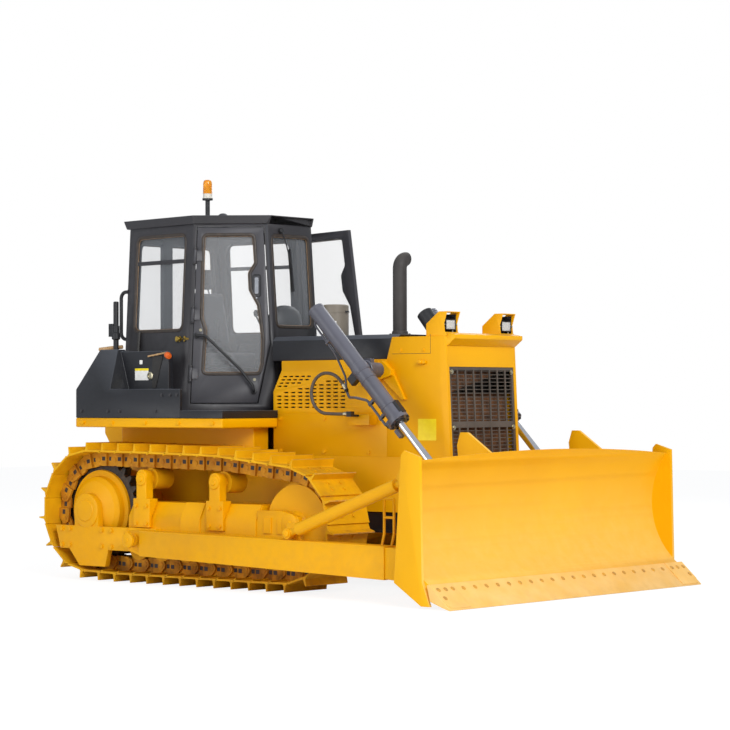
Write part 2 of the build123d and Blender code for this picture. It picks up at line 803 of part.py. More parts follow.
# Exhaust: straight pipe and an elbow to the left.
exhaust_radius = 59
exhaust_station = guard_front - 874
elbow_radius = 82
exhaust_bend_z = 2655
half_turn = radians(45)
with BuildPart() as exhaust_stack:
    with BuildLine() as exhaust_path:
        Line((at(exhaust_station), 0, hood_top_z), (at(exhaust_station), 0, exhaust_bend_z))
        ThreePointArc((at(exhaust_station), 0, exhaust_bend_z),
                      (at(exhaust_station), elbow_radius * (1 - cos(half_turn)),
                       exhaust_bend_z + elbow_radius * sin(half_turn)),
                      (at(exhaust_station), elbow_radius, exhaust_bend_z + elbow_radius))
    with BuildSketch(Plane.XY.offset(hood_top_z)):
        with Locations((at(exhaust_station), 0)):
            Circle(exhaust_radius)
            Circle(exhaust_radius - 6, mode=Mode.SUBTRACT)
    sweep(path=exhaust_path.line)
write("exhaust_stack", exhaust_stack.part)

# Air cleaner: a can with a lid and a band, upright on the hood.
cleaner_station = 1764
cleaner_y = 100
cleaner_radius = 112
cleaner_top_z = 2376
with BuildPart() as air_cleaner:
    with BuildSketch(Plane.XY.offset(hood_top_z)):
        with Locations((at(cleaner_station), cleaner_y)):
            Circle(cleaner_radius)
    extrude(amount=cleaner_top_z - hood_top_z)
    fillet(air_cleaner.edges().group_by(Axis.Z)[-1], 18)
    with BuildSketch(Plane.XY.offset(cleaner_top_z - 70)):
        with Locations((at(cleaner_station), cleaner_y)):
            Circle(cleaner_radius + 5)
    extrude(amount=14)
write("air_cleaner", air_cleaner.part)

# Air intake: a short neck and a tilted cap.
intake_station = guard_front - 522
with BuildPart() as air_intake:
    with BuildSketch(Plane.XY.offset(hood_top_z - 26)):
        with Locations((at(intake_station), 0)):
            Circle(38)
    extrude(amount=110)
    with BuildSketch(Plane(origin=(at(intake_station) + 10, 0, hood_top_z + 65), x_dir=(0, 1, 0),
                           z_dir=(-sin(radians(40)), 0, cos(radians(40))))):
        Circle(68)
    extrude(amount=150)
write("air_intake", air_intake.part)

# Lamp housings on the guard's top, open at the front.
lamp_y = hull_half - 99
lamp_half = 88
lamp_top_z = hood_top_z + 171
with BuildPart() as lamp_housings:
    with BuildSketch(plane_y(-(lamp_y - lamp_half))):
        Polygon(*side_points((lamp_front - 215, guard_top_z), (lamp_front - 215, hood_top_z + 71),
                             (lamp_front - 85, lamp_top_z), (lamp_front, lamp_top_z),
                             (lamp_front - 32, hood_top_z + 76), (lamp_front - 25, hood_top_z + 11),
                             (lamp_front, hood_top_z - 22), (lamp_front, guard_top_z)), align=None)
    extrude(amount=2 * lamp_half)
    add(box_between((at(lamp_front - 120), -lamp_y - lamp_half + 8, hood_top_z + 6),
                    (at(lamp_front + 10), -lamp_y + lamp_half - 8, lamp_top_z - 8)), mode=Mode.SUBTRACT)
    mirror(about=Plane.XZ)
write("lamp_housings", lamp_housings.part)

with BuildPart() as headlamps:
    for side in (-1, 1):
        with Locations((at(lamp_front - 75), side * lamp_y, hood_top_z + 66)):
            Box(90, 130, 90)
write("headlamps", headlamps.part)

# Fenders: folded top plates and the skirts that carry them on the rear case.
with BuildPart() as fenders:
    add(box_between((at(fender_stations[0]), -fender_half, fender_z[0]),
                    (at(fender_stations[1]), -hull_half, fender_z[1])))
    add(box_between((at(-100), -skirt_half, case_z[1]), (at(1500), -hull_half, fender_z[0])))
    add(box_between((at(-100), -hull_half, case_z[1]), (at(box_step), -case_half + 60, fender_z[0])))
    mirror(about=Plane.XZ)
write("fenders", fenders.part)

# Deck under the cab with a step at each door.
with BuildPart() as cab_deck:
    with BuildSketch(Plane.XY.offset(fender_z[1])):
        Polygon((at(box_rear), -box_inner), (at(box_step), -box_inner), (at(box_step), -fender_half + 30),
                (at(box_front), -fender_half + 30), (at(box_front), -fender_half),
                (at(fender_stations[1]), -fender_half), (at(fender_stations[1]), -hull_half),
                (at(1500), -hull_half),
                (at(1500), hull_half), (at(fender_stations[1]), hull_half),
                (at(fender_stations[1]), fender_half), (at(box_front), fender_half),
                (at(box_front), fender_half - 30), (at(box_step), fender_half - 30),
                (at(box_step), box_inner), (at(box_rear), box_inner), align=None)
    extrude(amount=deck_top_z - fender_z[1])
write("cab_deck", cab_deck.part)


# Box beside the cab: low box, sloped rear hump, and a thin guard ahead of it.
def side_box():
    with BuildPart() as box:
        add(box_between((at(box_rear), -fender_half, fender_z[1]), (at(box_step), -box_inner, box_top_z)))
        add(box_between((at(box_step), -fender_half, fender_z[1]),
                        (at(box_front), -fender_half + 30, box_top_z)))
        with BuildSketch(Plane.XY.offset(box_top_z)):
            Polygon((at(box_rear), -fender_half), (at(hump_front), -fender_half),
                    (at(hump_front), -box_inner), (at(box_rear), -box_inner), align=None)
        with BuildSketch(Plane.XY.offset(hump_top_z)):
            Polygon((at(box_rear) + 95, -fender_half + 200), (at(hump_front) - 108, -fender_half + 200),
                    (at(hump_front) - 108, -box_inner), (at(box_rear) + 95, -box_inner), align=None)
        loft()
        recess_front = box_step - 48
        recess_top_z = hump_top_z - 20
        with BuildSketch(plane_y(-box_inner - 60)):
            with BuildLine():
                Polyline((at(recess_front), recess_top_z - recess_corner), (at(recess_front), box_top_z),
                         (at(hump_front) - 150, box_top_z), (at(hump_front) - 150, recess_top_z),
                         (at(recess_front - recess_corner), recess_top_z))
                RadiusArc((at(recess_front - recess_corner), recess_top_z),
                          (at(recess_front), recess_top_z - recess_corner), recess_corner)
            make_face()
        extrude(amount=-60)
    return box.part


right_box = side_box()
write("hydraulic_tank", right_box)
write("battery_box", mirror(right_box, about=Plane.XZ))

# Fuel tank behind the cab on the rear case.
with BuildPart() as fuel_tank:
    with BuildSketch(Plane.XZ):
        Polygon(*side_points((-158, case_z[1]), (-158, 1780), (-420, 1780), (-520, 1660), (-520, 1260),
                             (-430, case_z[1])), align=None)
    extrude(amount=hull_half - 8, both=True)
write("fuel_tank", fuel_tank.part)


# Cab outline at one height, corners in order from the rear right round the front to the rear left.
def cab_corners(z, inset):
    share = (z - deck_top_z) / (cab_top_z - deck_top_z)
    half = []
    for (low_s, low_y), (high_s, high_y) in zip(cab_sill_corners, cab_roof_corners):
        half.append((at(low_s + (high_s - low_s) * share), low_y + (high_y - low_y) * share))
    ring = [(x, -y) for x, y in half] + [(x, y) for x, y in reversed(half)]
    if not inset:
        return ring
    return inset_ring(ring, (inset,) * len(ring))


# The same ring with each side moved inward by its own inset.
def inset_ring(ring, insets):
    lines = []
    count = len(ring)
    for index in range(count):
        x, y = ring[index]
        next_x, next_y = ring[(index + 1) % count]
        length = hypot(next_x - x, next_y - y)
        across_x = -(next_y - y) / length
        across_y = (next_x - x) / length
        lines.append((across_x, across_y, across_x * x + across_y * y + insets[index]))
    moved = []
    for index in range(count):
        a1, b1, c1 = lines[index - 1]
        a2, b2, c2 = lines[index]
        determinant = a1 * b2 - a2 * b1
        moved.append(((c1 * b2 - c2 * b1) / determinant, (a1 * c2 - a2 * c1) / determinant))
    return moved


# One wall of the cab between two neighbouring corners, mitred at both.
def cab_panel(first, low_z=deck_top_z, high_z=cab_top_z, wall=cab_wall):
    second = (first + 1) % 6
    with BuildPart() as panel:
        for z in (low_z, high_z):
            outer = cab_corners(z, 0)
            inner = cab_corners(z, wall)
            with BuildSketch(Plane.XY.offset(z)):
                Polygon(outer[first], outer[second], inner[second], inner[first], align=None)
        loft()
    return panel.part


# The outer face of a cab wall: x along it from its first corner, y up the wall.
def cab_plane(first):
    low = cab_corners(deck_top_z, 0)
    high = cab_corners(cab_top_z, 0)
    second = (first + 1) % 6
    origin = Vector(*low[first], deck_top_z)
    along = Vector(*low[second], deck_top_z) - origin
    up = Vector(*high[first], cab_top_z) - origin
    return Plane(origin=origin, x_dir=along, z_dir=along.cross(up))


# A point on a cab wall at a height up it, in from its first corner's edge or its second's.
def on_wall(first, height, from_first=None, from_second=None):
    plane = cab_plane(first)
    second = (first + 1) % 6
    corner = first if from_second is None else second
    low = plane.to_local_coords(Vector(*cab_corners(deck_top_z, 0)[corner], deck_top_z))
    high = plane.to_local_coords(Vector(*cab_corners(cab_top_z, 0)[corner], cab_top_z))
    edge = low.X + (high.X - low.X) * height / high.Y
    if from_second is None:
        return edge + from_first, height
    return edge - from_second, height


# the cab's walls, each numbered by its first corner
right_side, right_door, front, left_door, left_side, rear = range(6)


# A rounded window drawn on a cab wall.
def window_cut(wall, window, depth, start=0):
    from_first, from_second, low, high, corner = window
    with BuildPart() as cut:
        with BuildSketch(cab_plane(wall).offset(start)):
            Polygon(on_wall(wall, low, from_first=from_first), on_wall(wall, low, from_second=from_second),
                    on_wall(wall, high, from_second=from_second),
                    on_wall(wall, high, from_first=from_first), align=None)
            fillet(vertices(), corner)
        extrude(amount=-depth)
    return cut.part


glass_thickness = 6
# in from the first edge and the second, low and high edge up the wall, corner radius
side_window = (115, 105, 690, 1525, 75)
front_window = (45, 45, 720, 1515, 60)
rear_window = (110, 110, 640, 1480, 70)


window_bar = (1277, 1311)
pane_start = -(cab_wall - glass_thickness) / 2


# Side wall with its window, and the level bar on the pane's outer face.
def side_wall():
    from_first, from_second, *_ = side_window
    with BuildPart() as wall:
        add(cab_panel(right_side))
        add(window_cut(right_side, side_window, 3 * cab_wall, start=cab_wall), mode=Mode.SUBTRACT)
        with BuildSketch(cab_plane(right_side).offset(-6)):
            Polygon(on_wall(right_side, window_bar[0], from_first=from_first - 10),
                    on_wall(right_side, window_bar[0], from_second=from_second - 10),
                    on_wall(right_side, window_bar[1], from_second=from_second - 10),
                    on_wall(right_side, window_bar[1], from_first=from_first - 10), align=None)
        extrude(amount=pane_start + 6)
    return wall.part


right_wall = side_wall()
with BuildPart() as cab_side_walls:
    add(right_wall)
    mirror(about=Plane.XZ)
write("cab_side_walls", cab_side_walls.part)

with BuildPart() as cab_front_wall:
    add(cab_panel(front))
    add(window_cut(front, front_window, 3 * cab_wall, start=cab_wall), mode=Mode.SUBTRACT)
write("cab_front_wall", cab_front_wall.part)

with BuildPart() as cab_rear_wall:
    add(cab_panel(rear))
    add(window_cut(rear, rear_window, 3 * cab_wall, start=cab_wall), mode=Mode.SUBTRACT)
write("cab_rear_wall", cab_rear_wall.part)

# Door opening and door, drawn on the door wall.
door_plane = cab_plane(right_door)
door_low = 64
door_high = 1575
door_rear = 36
door_front = 38
door_slant = 137
door_slant_height = 500


# The door's outline with its cut lower corner, grown all round for the opening.
def door_outline(grow):
    low = door_low - grow
    high = door_high + grow
    slant_x, slant_z = on_wall(right_door, low, from_second=door_front - grow)
    return (on_wall(right_door, low, from_first=door_rear - grow), (slant_x - door_slant, slant_z),
            on_wall(right_door, low + door_slant_height, from_second=door_front - grow),
            on_wall(right_door, high, from_second=door_front - grow),
            on_wall(right_door, high, from_first=door_rear - grow))


# outline of the door's window round from its upper rear corner, in from the rear or front edge, height
door_window = (
    ("rear", 86, 1514), ("front", 119, 1514), ("front", 118, 1265), ("front", 176, 1180),
    ("front", 177, 1040), ("front", 113, 905), ("front", 92, 610), ("front", 112, 400),
    ("front", 140, 312), ("rear", 124, 312), ("rear", 133, 690), ("rear", 96, 800),
)
door_window_corner = 45


def door_window_cut(depth, start):
    points = []
    for edge, inset, height in door_window:
        if edge == "rear":
            points.append(on_wall(right_door, height, from_first=inset))
        else:
            points.append(on_wall(right_door, height, from_second=inset))
    with BuildPart() as cut:
        with BuildSketch(door_plane.offset(start)):
            Polygon(*points, align=None)
            fillet(vertices(), door_window_corner)
        extrude(amount=-depth)
    return cut.part


def door_panel():
    with BuildPart() as panel:
        with BuildSketch(door_plane):
            Polygon(*door_outline(0), align=None)
        extrude(amount=-door_thickness)
        add(door_window_cut(3 * door_thickness, door_thickness), mode=Mode.SUBTRACT)
    return panel.part


# The hinge line stands outside the door's rear edge, parallel to the corner of the cab.
hinge_out = 16
hinge_back = 12
hinge_low = door_plane.from_local_coords((*on_wall(right_door, 0, from_first=door_rear - hinge_back),
                                          hinge_out))
hinge_high = door_plane.from_local_coords((*on_wall(right_door, 1500, from_first=door_rear - hinge_back),
                                           hinge_out))
hinge_axis = Axis(hinge_low, hinge_high - hinge_low)


# The three hinges' middles, as heights up the door wall.
hinge_heights = (315, 822, 1331)
hinge_radius = 15
hinge_pin_radius = 8
knuckle_half = 52
leaf_seat = 2


# A box on the door wall's outer face from the hinge line, forward or back, and out to the knuckle.
def hinge_leaf(height, half, reach_from, reach_to):
    x, _ = on_wall(right_door, height, from_first=door_rear - hinge_back)
    with BuildPart() as leaf:
        with BuildSketch(door_plane.offset(-leaf_seat)):
            with Locations((x + (reach_from + reach_to) / 2, height)):
                Rectangle(abs(reach_to - reach_from), 2 * half)
        extrude(amount=hinge_out - 4 + leaf_seat)
    return leaf.part


def hinge_barrel(height, low, high, radius):
    point = hinge_low + hinge_axis.direction * height
    with BuildPart() as barrel:
        with BuildSketch(Plane(origin=point + hinge_axis.direction * low, z_dir=hinge_axis.direction)):
            Circle(radius)
        extrude(amount=high - low)
    return barrel.part


# The door's half: a bored knuckle with a leaf on the panel.
def door_knuckles():
    with BuildPart() as knuckles:
        for height in hinge_heights:
            add(hinge_leaf(height, knuckle_half - 8, hinge_back, 60))
            add(hinge_barrel(height, -knuckle_half, knuckle_half, hinge_radius))
        for height in hinge_heights:
            add(hinge_barrel(height, -knuckle_half, knuckle_half, hinge_pin_radius + pin_clearance),
                mode=Mode.SUBTRACT)
    return knuckles.part


# The frame's half: a pin through the knuckle between two short lugs.
def frame_hinges():
    with BuildPart() as lugs:
        for height in hinge_heights:
            for low, high in ((-knuckle_half - 20, -knuckle_half - 1), (knuckle_half + 1, knuckle_half + 20)):
                add(hinge_barrel(height, low, high, hinge_radius))
                add(hinge_leaf(height + (low + high) / 2, (high - low) / 2, -18, 0))
            add(hinge_barrel(height, -knuckle_half - 10, knuckle_half + 10, hinge_pin_radius))
    return lugs.part


right_door_panel = door_panel()
with BuildPart() as right_door_whole:
    add(right_door_panel)
    add(door_knuckles())
write("door_right", right_door_whole.part)
right_door_glass = door_window_cut(glass_thickness, -(door_thickness - glass_thickness) / 2)
write("door_glass_right", right_door_glass)
left_hinge = Axis((hinge_axis.position.X, -hinge_axis.position.Y, hinge_axis.position.Z),
                  (hinge_axis.direction.X, -hinge_axis.direction.Y, hinge_axis.direction.Z))
print("door hinge", hinge_axis.position, hinge_axis.direction)
write("door_left", mirror(right_door_whole.part, about=Plane.XZ).rotate(left_hinge, door_open_angle))
write("door_glass_left", mirror(right_door_glass, about=Plane.XZ).rotate(left_hinge, door_open_angle))

with BuildPart() as right_door_frame:
    add(cab_panel(right_door))
    with BuildSketch(door_plane.offset(cab_wall)):
        Polygon(*door_outline(door_gap), align=None)
    extrude(amount=-3 * cab_wall, mode=Mode.SUBTRACT)
    add(frame_hinges())
with BuildPart() as cab_door_frames:
    add(right_door_frame.part)
    mirror(about=Plane.XZ)
write("cab_door_frames", cab_door_frames.part)

# Fixed panes in the middle of their walls.
with BuildPart() as cab_windows:
    add(window_cut(right_side, side_window, glass_thickness, pane_start))
    mirror(about=Plane.XZ)
    add(window_cut(front, front_window, glass_thickness, pane_start))
    add(window_cut(rear, rear_window, glass_thickness, pane_start))
write("cab_windows", cab_windows.part)


# Roof: sheet box that widens upward, recessed under its front lip.
# how far each side of the roof stands out, in the order of the walls
roof_grow_low = (12, 12, 2, 12, 12, 40)
roof_grow_high = (22, 22, 42, 22, 22, 75)
roof_lip = 12
roof_cheek = 20


def roof_ring(growth):
    return inset_ring(cab_corners(cab_top_z, 0), [-grow for grow in growth])


with BuildPart() as cab_roof:
    with BuildSketch(Plane.XY.offset(cab_top_z)):
        Polygon(*roof_ring(roof_grow_low), align=None)
    with BuildSketch(Plane.XY.offset(cab_top_z + roof_thickness)):
        Polygon(*roof_ring(roof_grow_high), align=None)
    loft()
    roof_front, roof_side = cab_roof_corners[-1]
    add(box_between((at(roof_front + 4), -roof_side + roof_cheek, cab_top_z - 1),
                    (at(roof_front + 60), roof_side - roof_cheek, cab_top_z + roof_thickness - roof_lip)),
        mode=Mode.SUBTRACT)
write("cab_roof", cab_roof.part)

# Beacon on its post.
beacon_station = 620
beacon_y = -300
roof_z = cab_top_z + roof_thickness
with BuildPart() as beacon_post:
    with BuildSketch(Plane.XY.offset(roof_z)):
        with Locations((at(beacon_station), beacon_y)):
            Circle(20)
    extrude(amount=165)
    with BuildSketch(Plane.XY.offset(roof_z + 165)):
        with Locations((at(beacon_station), beacon_y)):
            Circle(46)
    extrude(amount=16)
write("beacon_post", beacon_post.part)
with BuildPart() as beacon:
    with BuildSketch(Plane.XY.offset(roof_z + 181)):
        with Locations((at(beacon_station), beacon_y)):
            Circle(44)
    extrude(amount=165, taper=2)
write("beacon", beacon.part)

# Seat and control console inside the cab.
with BuildPart() as seat:
    with Locations((at(560), 0, deck_top_z + 190)):
        Box(420, 420, 380)
    with Locations((at(575), 0, deck_top_z + 440)):
        Box(520, 520, 120)
    with BuildSketch(Plane.XZ):
        Polygon(*side_points((310, deck_top_z + 500), (200, deck_top_z + 1080), (310, deck_top_z + 1080),
                             (430, deck_top_z + 500)), align=None)
    extrude(amount=230, both=True)
    with Locations((at(240), 0, deck_top_z + 1170)):
        Box(90, 260, 200)
write("seat", seat.part)

with BuildPart() as console:
    with BuildSketch(Plane.XZ):
        Polygon(*side_points((1130, deck_top_z), (1330, deck_top_z), (1330, deck_top_z + 560),
                             (1180, deck_top_z + 620), (1100, deck_top_z + 520)), align=None)
    extrude(amount=230, both=True)
write("console", console.part)

# Blade: curved plate, end plates, back ribs and the lugs for arms, braces and cylinders.
blade_inner_half = blade_half - 26


# Centre and radius of the circle through three points.
def circle_through(a, b, c):
    (ax, ay), (bx, by), (cx, cy) = a, b, c
    twice = 2 * (ax * (by - cy) + bx * (cy - ay) + cx * (ay - by))
    a2, b2, c2 = ax * ax + ay * ay, bx * bx + by * by, cx * cx + cy * cy
    x = (a2 * (by - cy) + b2 * (cy - ay) + c2 * (ay - by)) / twice
    y = (a2 * (cx - bx) + b2 * (ax - cx) + c2 * (bx - ax)) / twice
    return x, y, hypot(ax - x, ay - y)


blade_circle = circle_through((blade_top_front, blade_top_z), (blade_curve_station, blade_curve_z),
                              (blade_low_front, edge_height))


# Station of the blade's curved front face at a height.
def blade_face(z):
    station, centre_z, radius = blade_circle
    return station - sqrt(radius ** 2 - (z - centre_z) ** 2)


# A point inside the curved plate, where ribs and lugs end.
def in_plate(z):
    return blade_face(z) - blade_plate / 2, z


# The middle of the curved plate from one height to another, as short steps.
def along_plate(start, end):
    steps = 5
    return [in_plate(start + (end - start) * step / steps) for step in range(steps + 1)]


# Side points given by distance ahead of the curve's deepest station, and height.
def from_curve(*points):
    return [(blade_curve_station + ahead, z) for ahead, z in points]


def mirrored_prism(points, inner, outer):
    with BuildPart() as pair:
        add(side_prism(points, inner, outer))
        mirror(about=Plane.XZ)
    return pair.part


with BuildPart() as moldboard:
    with BuildSketch(Plane.XZ):
        with BuildLine():
            ThreePointArc(*side_points((blade_top_front, blade_top_z),
                                       (blade_curve_station, blade_curve_z),
                                       (blade_low_front, edge_height)))
            Line(*side_points((blade_low_front, edge_height), (blade_low_front - blade_plate, edge_height)))
            ThreePointArc(*side_points((blade_low_front - blade_plate, edge_height),
                                       (blade_curve_station - blade_plate, blade_curve_z),
                                       (blade_top_front - blade_plate, blade_top_z)))
            Line(*side_points((blade_top_front - blade_plate, blade_top_z), (blade_top_front, blade_top_z)))
        make_face()
    extrude(amount=blade_inner_half, both=True)
    with BuildSketch(plane_x(blade_top_front - 200)):
        with BuildLine():
            ThreePointArc((-blade_inner_half, blade_end_z), (0, blade_top_z - 2),
                          (blade_inner_half, blade_end_z))
            Polyline((blade_inner_half, blade_end_z), (blade_inner_half, blade_top_z + 10),
                     (-blade_inner_half, blade_top_z + 10), (-blade_inner_half, blade_end_z))
        make_face()
    extrude(amount=400, mode=Mode.SUBTRACT)
    add(cross_prism(((blade_low_front, edge_height), (blade_low_front + 30, 60),
                     *from_curve((-5, 130), (-55, 200), (-55, 330)),
                     *along_plate(420, edge_height)), blade_inner_half))
    add(cross_prism((*from_curve((-40, 900), (-40, 800)), *along_plate(800, 990)), blade_inner_half))
    add(mirrored_prism(from_curve((5, 1144), (37, 1177), (187, 1131), (206, 198), (279, 20), (195, 20),
                                  (-66, 185), (-29, 730)), blade_inner_half, blade_half))
    for low_y, high_y in ((cylinder_y - 80, cylinder_y - 58), (cylinder_y + 58, cylinder_y + 80)):
        add(mirrored_prism((*from_curve((-105, 860), (-185, 760), (-185, 660), (-105, 600)),
                            *along_plate(560, 900)), low_y, high_y))
    add(mirrored_prism((*from_curve((165, 1122), (-95, 1300), (-165, 1300), (-198, 1200), (-165, 930)),
                        *along_plate(900, 1100)), cylinder_y - 15, cylinder_y + 15))
    add(mirrored_prism(((arm_front, 190), *from_curve((-15, 160), (25, 420)), (arm_front, 430)),
                       arm_front_y - 65, arm_front_y + 65))
    for low_y, high_y in ((brace_front_y - brace_eye_half - 25, brace_front_y - brace_eye_half),
                          (brace_front_y + brace_eye_half, brace_front_y + brace_eye_half + 25)):
        add(mirrored_prism((*from_curve((-115, 1040), (-150, 960), (-105, 900)),
                            *along_plate(860, 1060)), low_y, high_y))
write("moldboard", moldboard.part)

with BuildPart() as cutting_edge:
    with BuildSketch(Plane.XZ):
        Polygon(*side_points((blade_low_front, edge_height), (blade_low_front + 24, edge_height + 4),
                             (blade_reach, 4), (blade_reach - 10, 0), (blade_reach - 81, 20),
                             (blade_low_front + 30, 60)), align=None)
    extrude(amount=blade_half, both=True)
write("cutting_edge", cutting_edge.part)


# Push arm: tapered box, its rear end a bored block on the trunnion.
def push_arm():
    with BuildPart() as arm:
        with BuildSketch(Plane.YZ.offset(at(arm_rear))):
            with Locations((-arm_rear_y, 357)):
                Rectangle(arm_thickness, 212)
        with BuildSketch(Plane.YZ.offset(at(arm_front))):
            with Locations((-arm_front_y, 310)):
                Rectangle(arm_thickness, 258)
        loft()
        add(side_prism(((arm_rear - 180, 300), (arm_rear, 251), (arm_rear, 463), (arm_rear - 180, 463)),
                       arm_rear_y - 110, arm_rear_y + 50))
        add(cross_bar(trunnion_station, trunnion_z, trunnion_radius + 1, side_plate_face, trunnion_end + 10),
            mode=Mode.SUBTRACT)
        add(side_prism(((brace_rear[0] - 100, 430), (brace_rear[0] + 100, 430), (brace_rear[0] + 50, 580),
                        (brace_rear[0] - 50, 580)),
                       brace_rear_y - brace_eye_half - 50, brace_rear_y - brace_eye_half))
    return arm.part


right_arm = push_arm()
with BuildPart() as push_arms:
    add(right_arm)
    mirror(about=Plane.XZ)
write("push_arms", push_arms.part)


# Brace: tube with an eye at each end.
def brace():
    low = Vector(at(brace_rear[0]), -brace_rear_y, brace_rear[1])
    high = Vector(at(brace_front[0]), -brace_front_y, brace_front[1])
    heading = (high - low).normalized()
    with BuildPart() as tube:
        with BuildSketch(Plane(origin=low + heading * brace_neck, z_dir=heading)):
            Circle(brace_radius)
        extrude(amount=(high - low).length - 2 * brace_neck)
        with BuildSketch(Plane(origin=low + heading * 25, z_dir=heading)):
            Circle(30)
        extrude(amount=(high - low).length - 50)
        add(cross_bar(*brace_rear, brace_eye_radius, brace_rear_y - brace_eye_half,
                      brace_rear_y + brace_eye_half))
        add(cross_bar(*brace_front, brace_eye_radius, brace_front_y - brace_eye_half,
                      brace_front_y + brace_eye_half))
    return tube.part


right_brace = brace()
with BuildPart() as braces:
    add(right_brace)
    mirror(about=Plane.XZ)
write("braces", braces.part)

# Lift cylinders: barrel on its trunnion, rod to the blade.
stroke_line = Vector(at(lift_pin_station) - at(yoke_station), 0, lift_pin_z - yoke_z)
pin_distance = stroke_line.length
stroke_way = stroke_line.normalized()
yoke_point = Vector(at(yoke_station), -cylinder_y, yoke_z)
print("pin distance", pin_distance)


head_radius = 88
head_length = 40
boss_radius = 59


def lift_barrel():
    with BuildPart() as barrel:
        with BuildSketch(Plane(origin=yoke_point - stroke_way * barrel_behind, z_dir=stroke_way)):
            Circle(barrel_radius)
        extrude(amount=barrel_behind + barrel_ahead)
        with BuildSketch(Plane(origin=yoke_point - stroke_way * (barrel_behind - 30), z_dir=stroke_way)):
            Circle(barrel_radius - barrel_wall)
        extrude(amount=barrel_behind + barrel_ahead - 80, mode=Mode.SUBTRACT)
        with BuildSketch(Plane(origin=yoke_point, z_dir=stroke_way)):
            Circle(rod_radius + rod_clearance)
        extrude(amount=barrel_ahead + 10, mode=Mode.SUBTRACT)
        with BuildSketch(Plane(origin=yoke_point - stroke_way * 30, z_dir=stroke_way)):
            Circle(barrel_radius + 6)
        extrude(amount=60)
        with BuildSketch(Plane(origin=yoke_point + stroke_way * (barrel_ahead - head_length), z_dir=stroke_way)):
            Circle(head_radius)
            Circle(barrel_radius - barrel_wall, mode=Mode.SUBTRACT)
        extrude(amount=head_length)
        add(cross_bar(yoke_station, yoke_z, boss_radius, boss_inner, cylinder_y - 40))
        add(cross_bar(yoke_station, yoke_z, yoke_pin_radius + pin_clearance, boss_inner,
                      boss_inner + yoke_pin_reach), mode=Mode.SUBTRACT)
        with BuildSketch(Plane(origin=yoke_point - stroke_way * 60, z_dir=stroke_way)):
            Circle(barrel_radius - barrel_wall)
        extrude(amount=120, mode=Mode.SUBTRACT)
    return barrel.part


def lift_rod():
    pin_point = yoke_point + stroke_way * pin_distance
    with BuildPart() as rod:
        with BuildSketch(Plane(origin=pin_point - stroke_way * rod_length, z_dir=stroke_way)):
            Circle(rod_radius)
        extrude(amount=rod_length - 30)
        add(cross_bar(lift_pin_station, lift_pin_z, 62, cylinder_y - 50, cylinder_y + 50))
    return rod.part


right_barrel = lift_barrel()
write("lift_barrel_right", right_barrel)
write("lift_barrel_left", mirror(right_barrel, about=Plane.XZ))
right_rod = lift_rod()
write("lift_rod_right", right_rod)
write("lift_rod_left", mirror(right_rod, about=Plane.XZ))

# Lift hoses: each leaves a fitting on the bracket, loops back and comes up beside its cylinder.
hose_y = 640
hose_diameter = 28
fitting_front = 2590
# station and height of the route's points, from the fitting on
hose_route = (
    (2540, 1440), (2443, 1440), (2345, 1442), (2251, 1447), (2165, 1510), (2132, 1612), (2165, 1714),
    (2251, 1777), (2360, 1777), (2455, 1729), (2518, 1646),
)


# The radius of the arc at each inner point of a route, as large as its two runs allow.
def route_radii(points):
    radii = []
    for before, corner, after in zip(points, points[1:], points[2:]):
        inward = Vector(*corner) - Vector(*before)
        outward = Vector(*after) - Vector(*corner)
        half_angle = radians(inward.get_angle(outward) / 2)
        radii.append(0.45 * min(inward.length, outward.length) / tan(half_angle))
    return radii


hose_points = [(at(station), -hose_y, z) for station, z in hose_route]
hose_radii = route_radii(hose_points)
print("hose radii", [round(radius) for radius in hose_radii])
with BuildPart() as hose:
    with BuildLine() as hose_line:
        FilletPolyline(*hose_points, radius=hose_radii)
    with BuildSketch(Plane(origin=hose_points[0], z_dir=(-1, 0, 0))):
        Circle(hose_diameter / 2)
    sweep(path=hose_line.line)
print("hose length", round(sum(edge.length for edge in hose_line.edges())))
write("hose_right", hose.part)
write("hose_left", mirror(hose.part, about=Plane.XZ))

with BuildPart() as hose_fittings:
    fitting_z = hose_route[0][1]
    add(box_between((at(hose_route[0][0]), -hose_y - 22, fitting_z - 4),
                    (at(fitting_front), -hose_y + 22, fitting_z + 22)))
    add(box_between((at(hose_route[0][0]), -hose_y - 22, fitting_z - 22),
                    (at(fitting_front), -bracket_face, fitting_z - 4)))
    mirror(about=Plane.XZ)
write("hose_fittings", hose_fittings.part)

# Yoke brackets on the guard, each with a pin into the barrel's band.
with BuildPart() as lift_yokes:
    add(side_prism(((yoke_station - 90, 1875), (yoke_station + 30, 1875), (yoke_station + 125, 1800),
                    (yoke_station + 125, 1755), (yoke_station + 40, 1730), (yoke_station - 90, 1700)),
                   hull_half, hull_half + yoke_thickness))
    add(side_prism(((yoke_station + 5, 1735), (yoke_station + 132, 1757), (yoke_station + 250, 1558),
                    (yoke_station + 215, 1558)), hull_half, hull_half + 25))
    add(cross_bar(yoke_station, yoke_z, yoke_pin_radius, hull_half + yoke_thickness - 5,
                  boss_inner + yoke_pin_reach - 4))
    mirror(about=Plane.XZ)
write("lift_yokes", lift_yokes.part)

# Grab rails behind the cab.
grab_y = cab_sill_corners[0][1] - 86
grab_back = cab_rear - 110
with BuildPart() as grab_rails:
    with BuildLine() as rail_path:
        FilletPolyline((at(cab_rear), -grab_y, 2100), (at(grab_back), -grab_y, 2100),
                       (at(grab_back), -grab_y, 2520), (at(cab_rear), -grab_y, 2520), radius=60)
    with BuildSketch(Plane(origin=(at(cab_rear), -grab_y, 2100), z_dir=(-1, 0, 0))):
        Circle(16)
    sweep(path=rail_path.line)
    mirror(about=Plane.XZ)
write("grab_rails", grab_rails.part)
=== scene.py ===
import json
import math

import bmesh
import bpy
from mathutils import Matrix, Vector


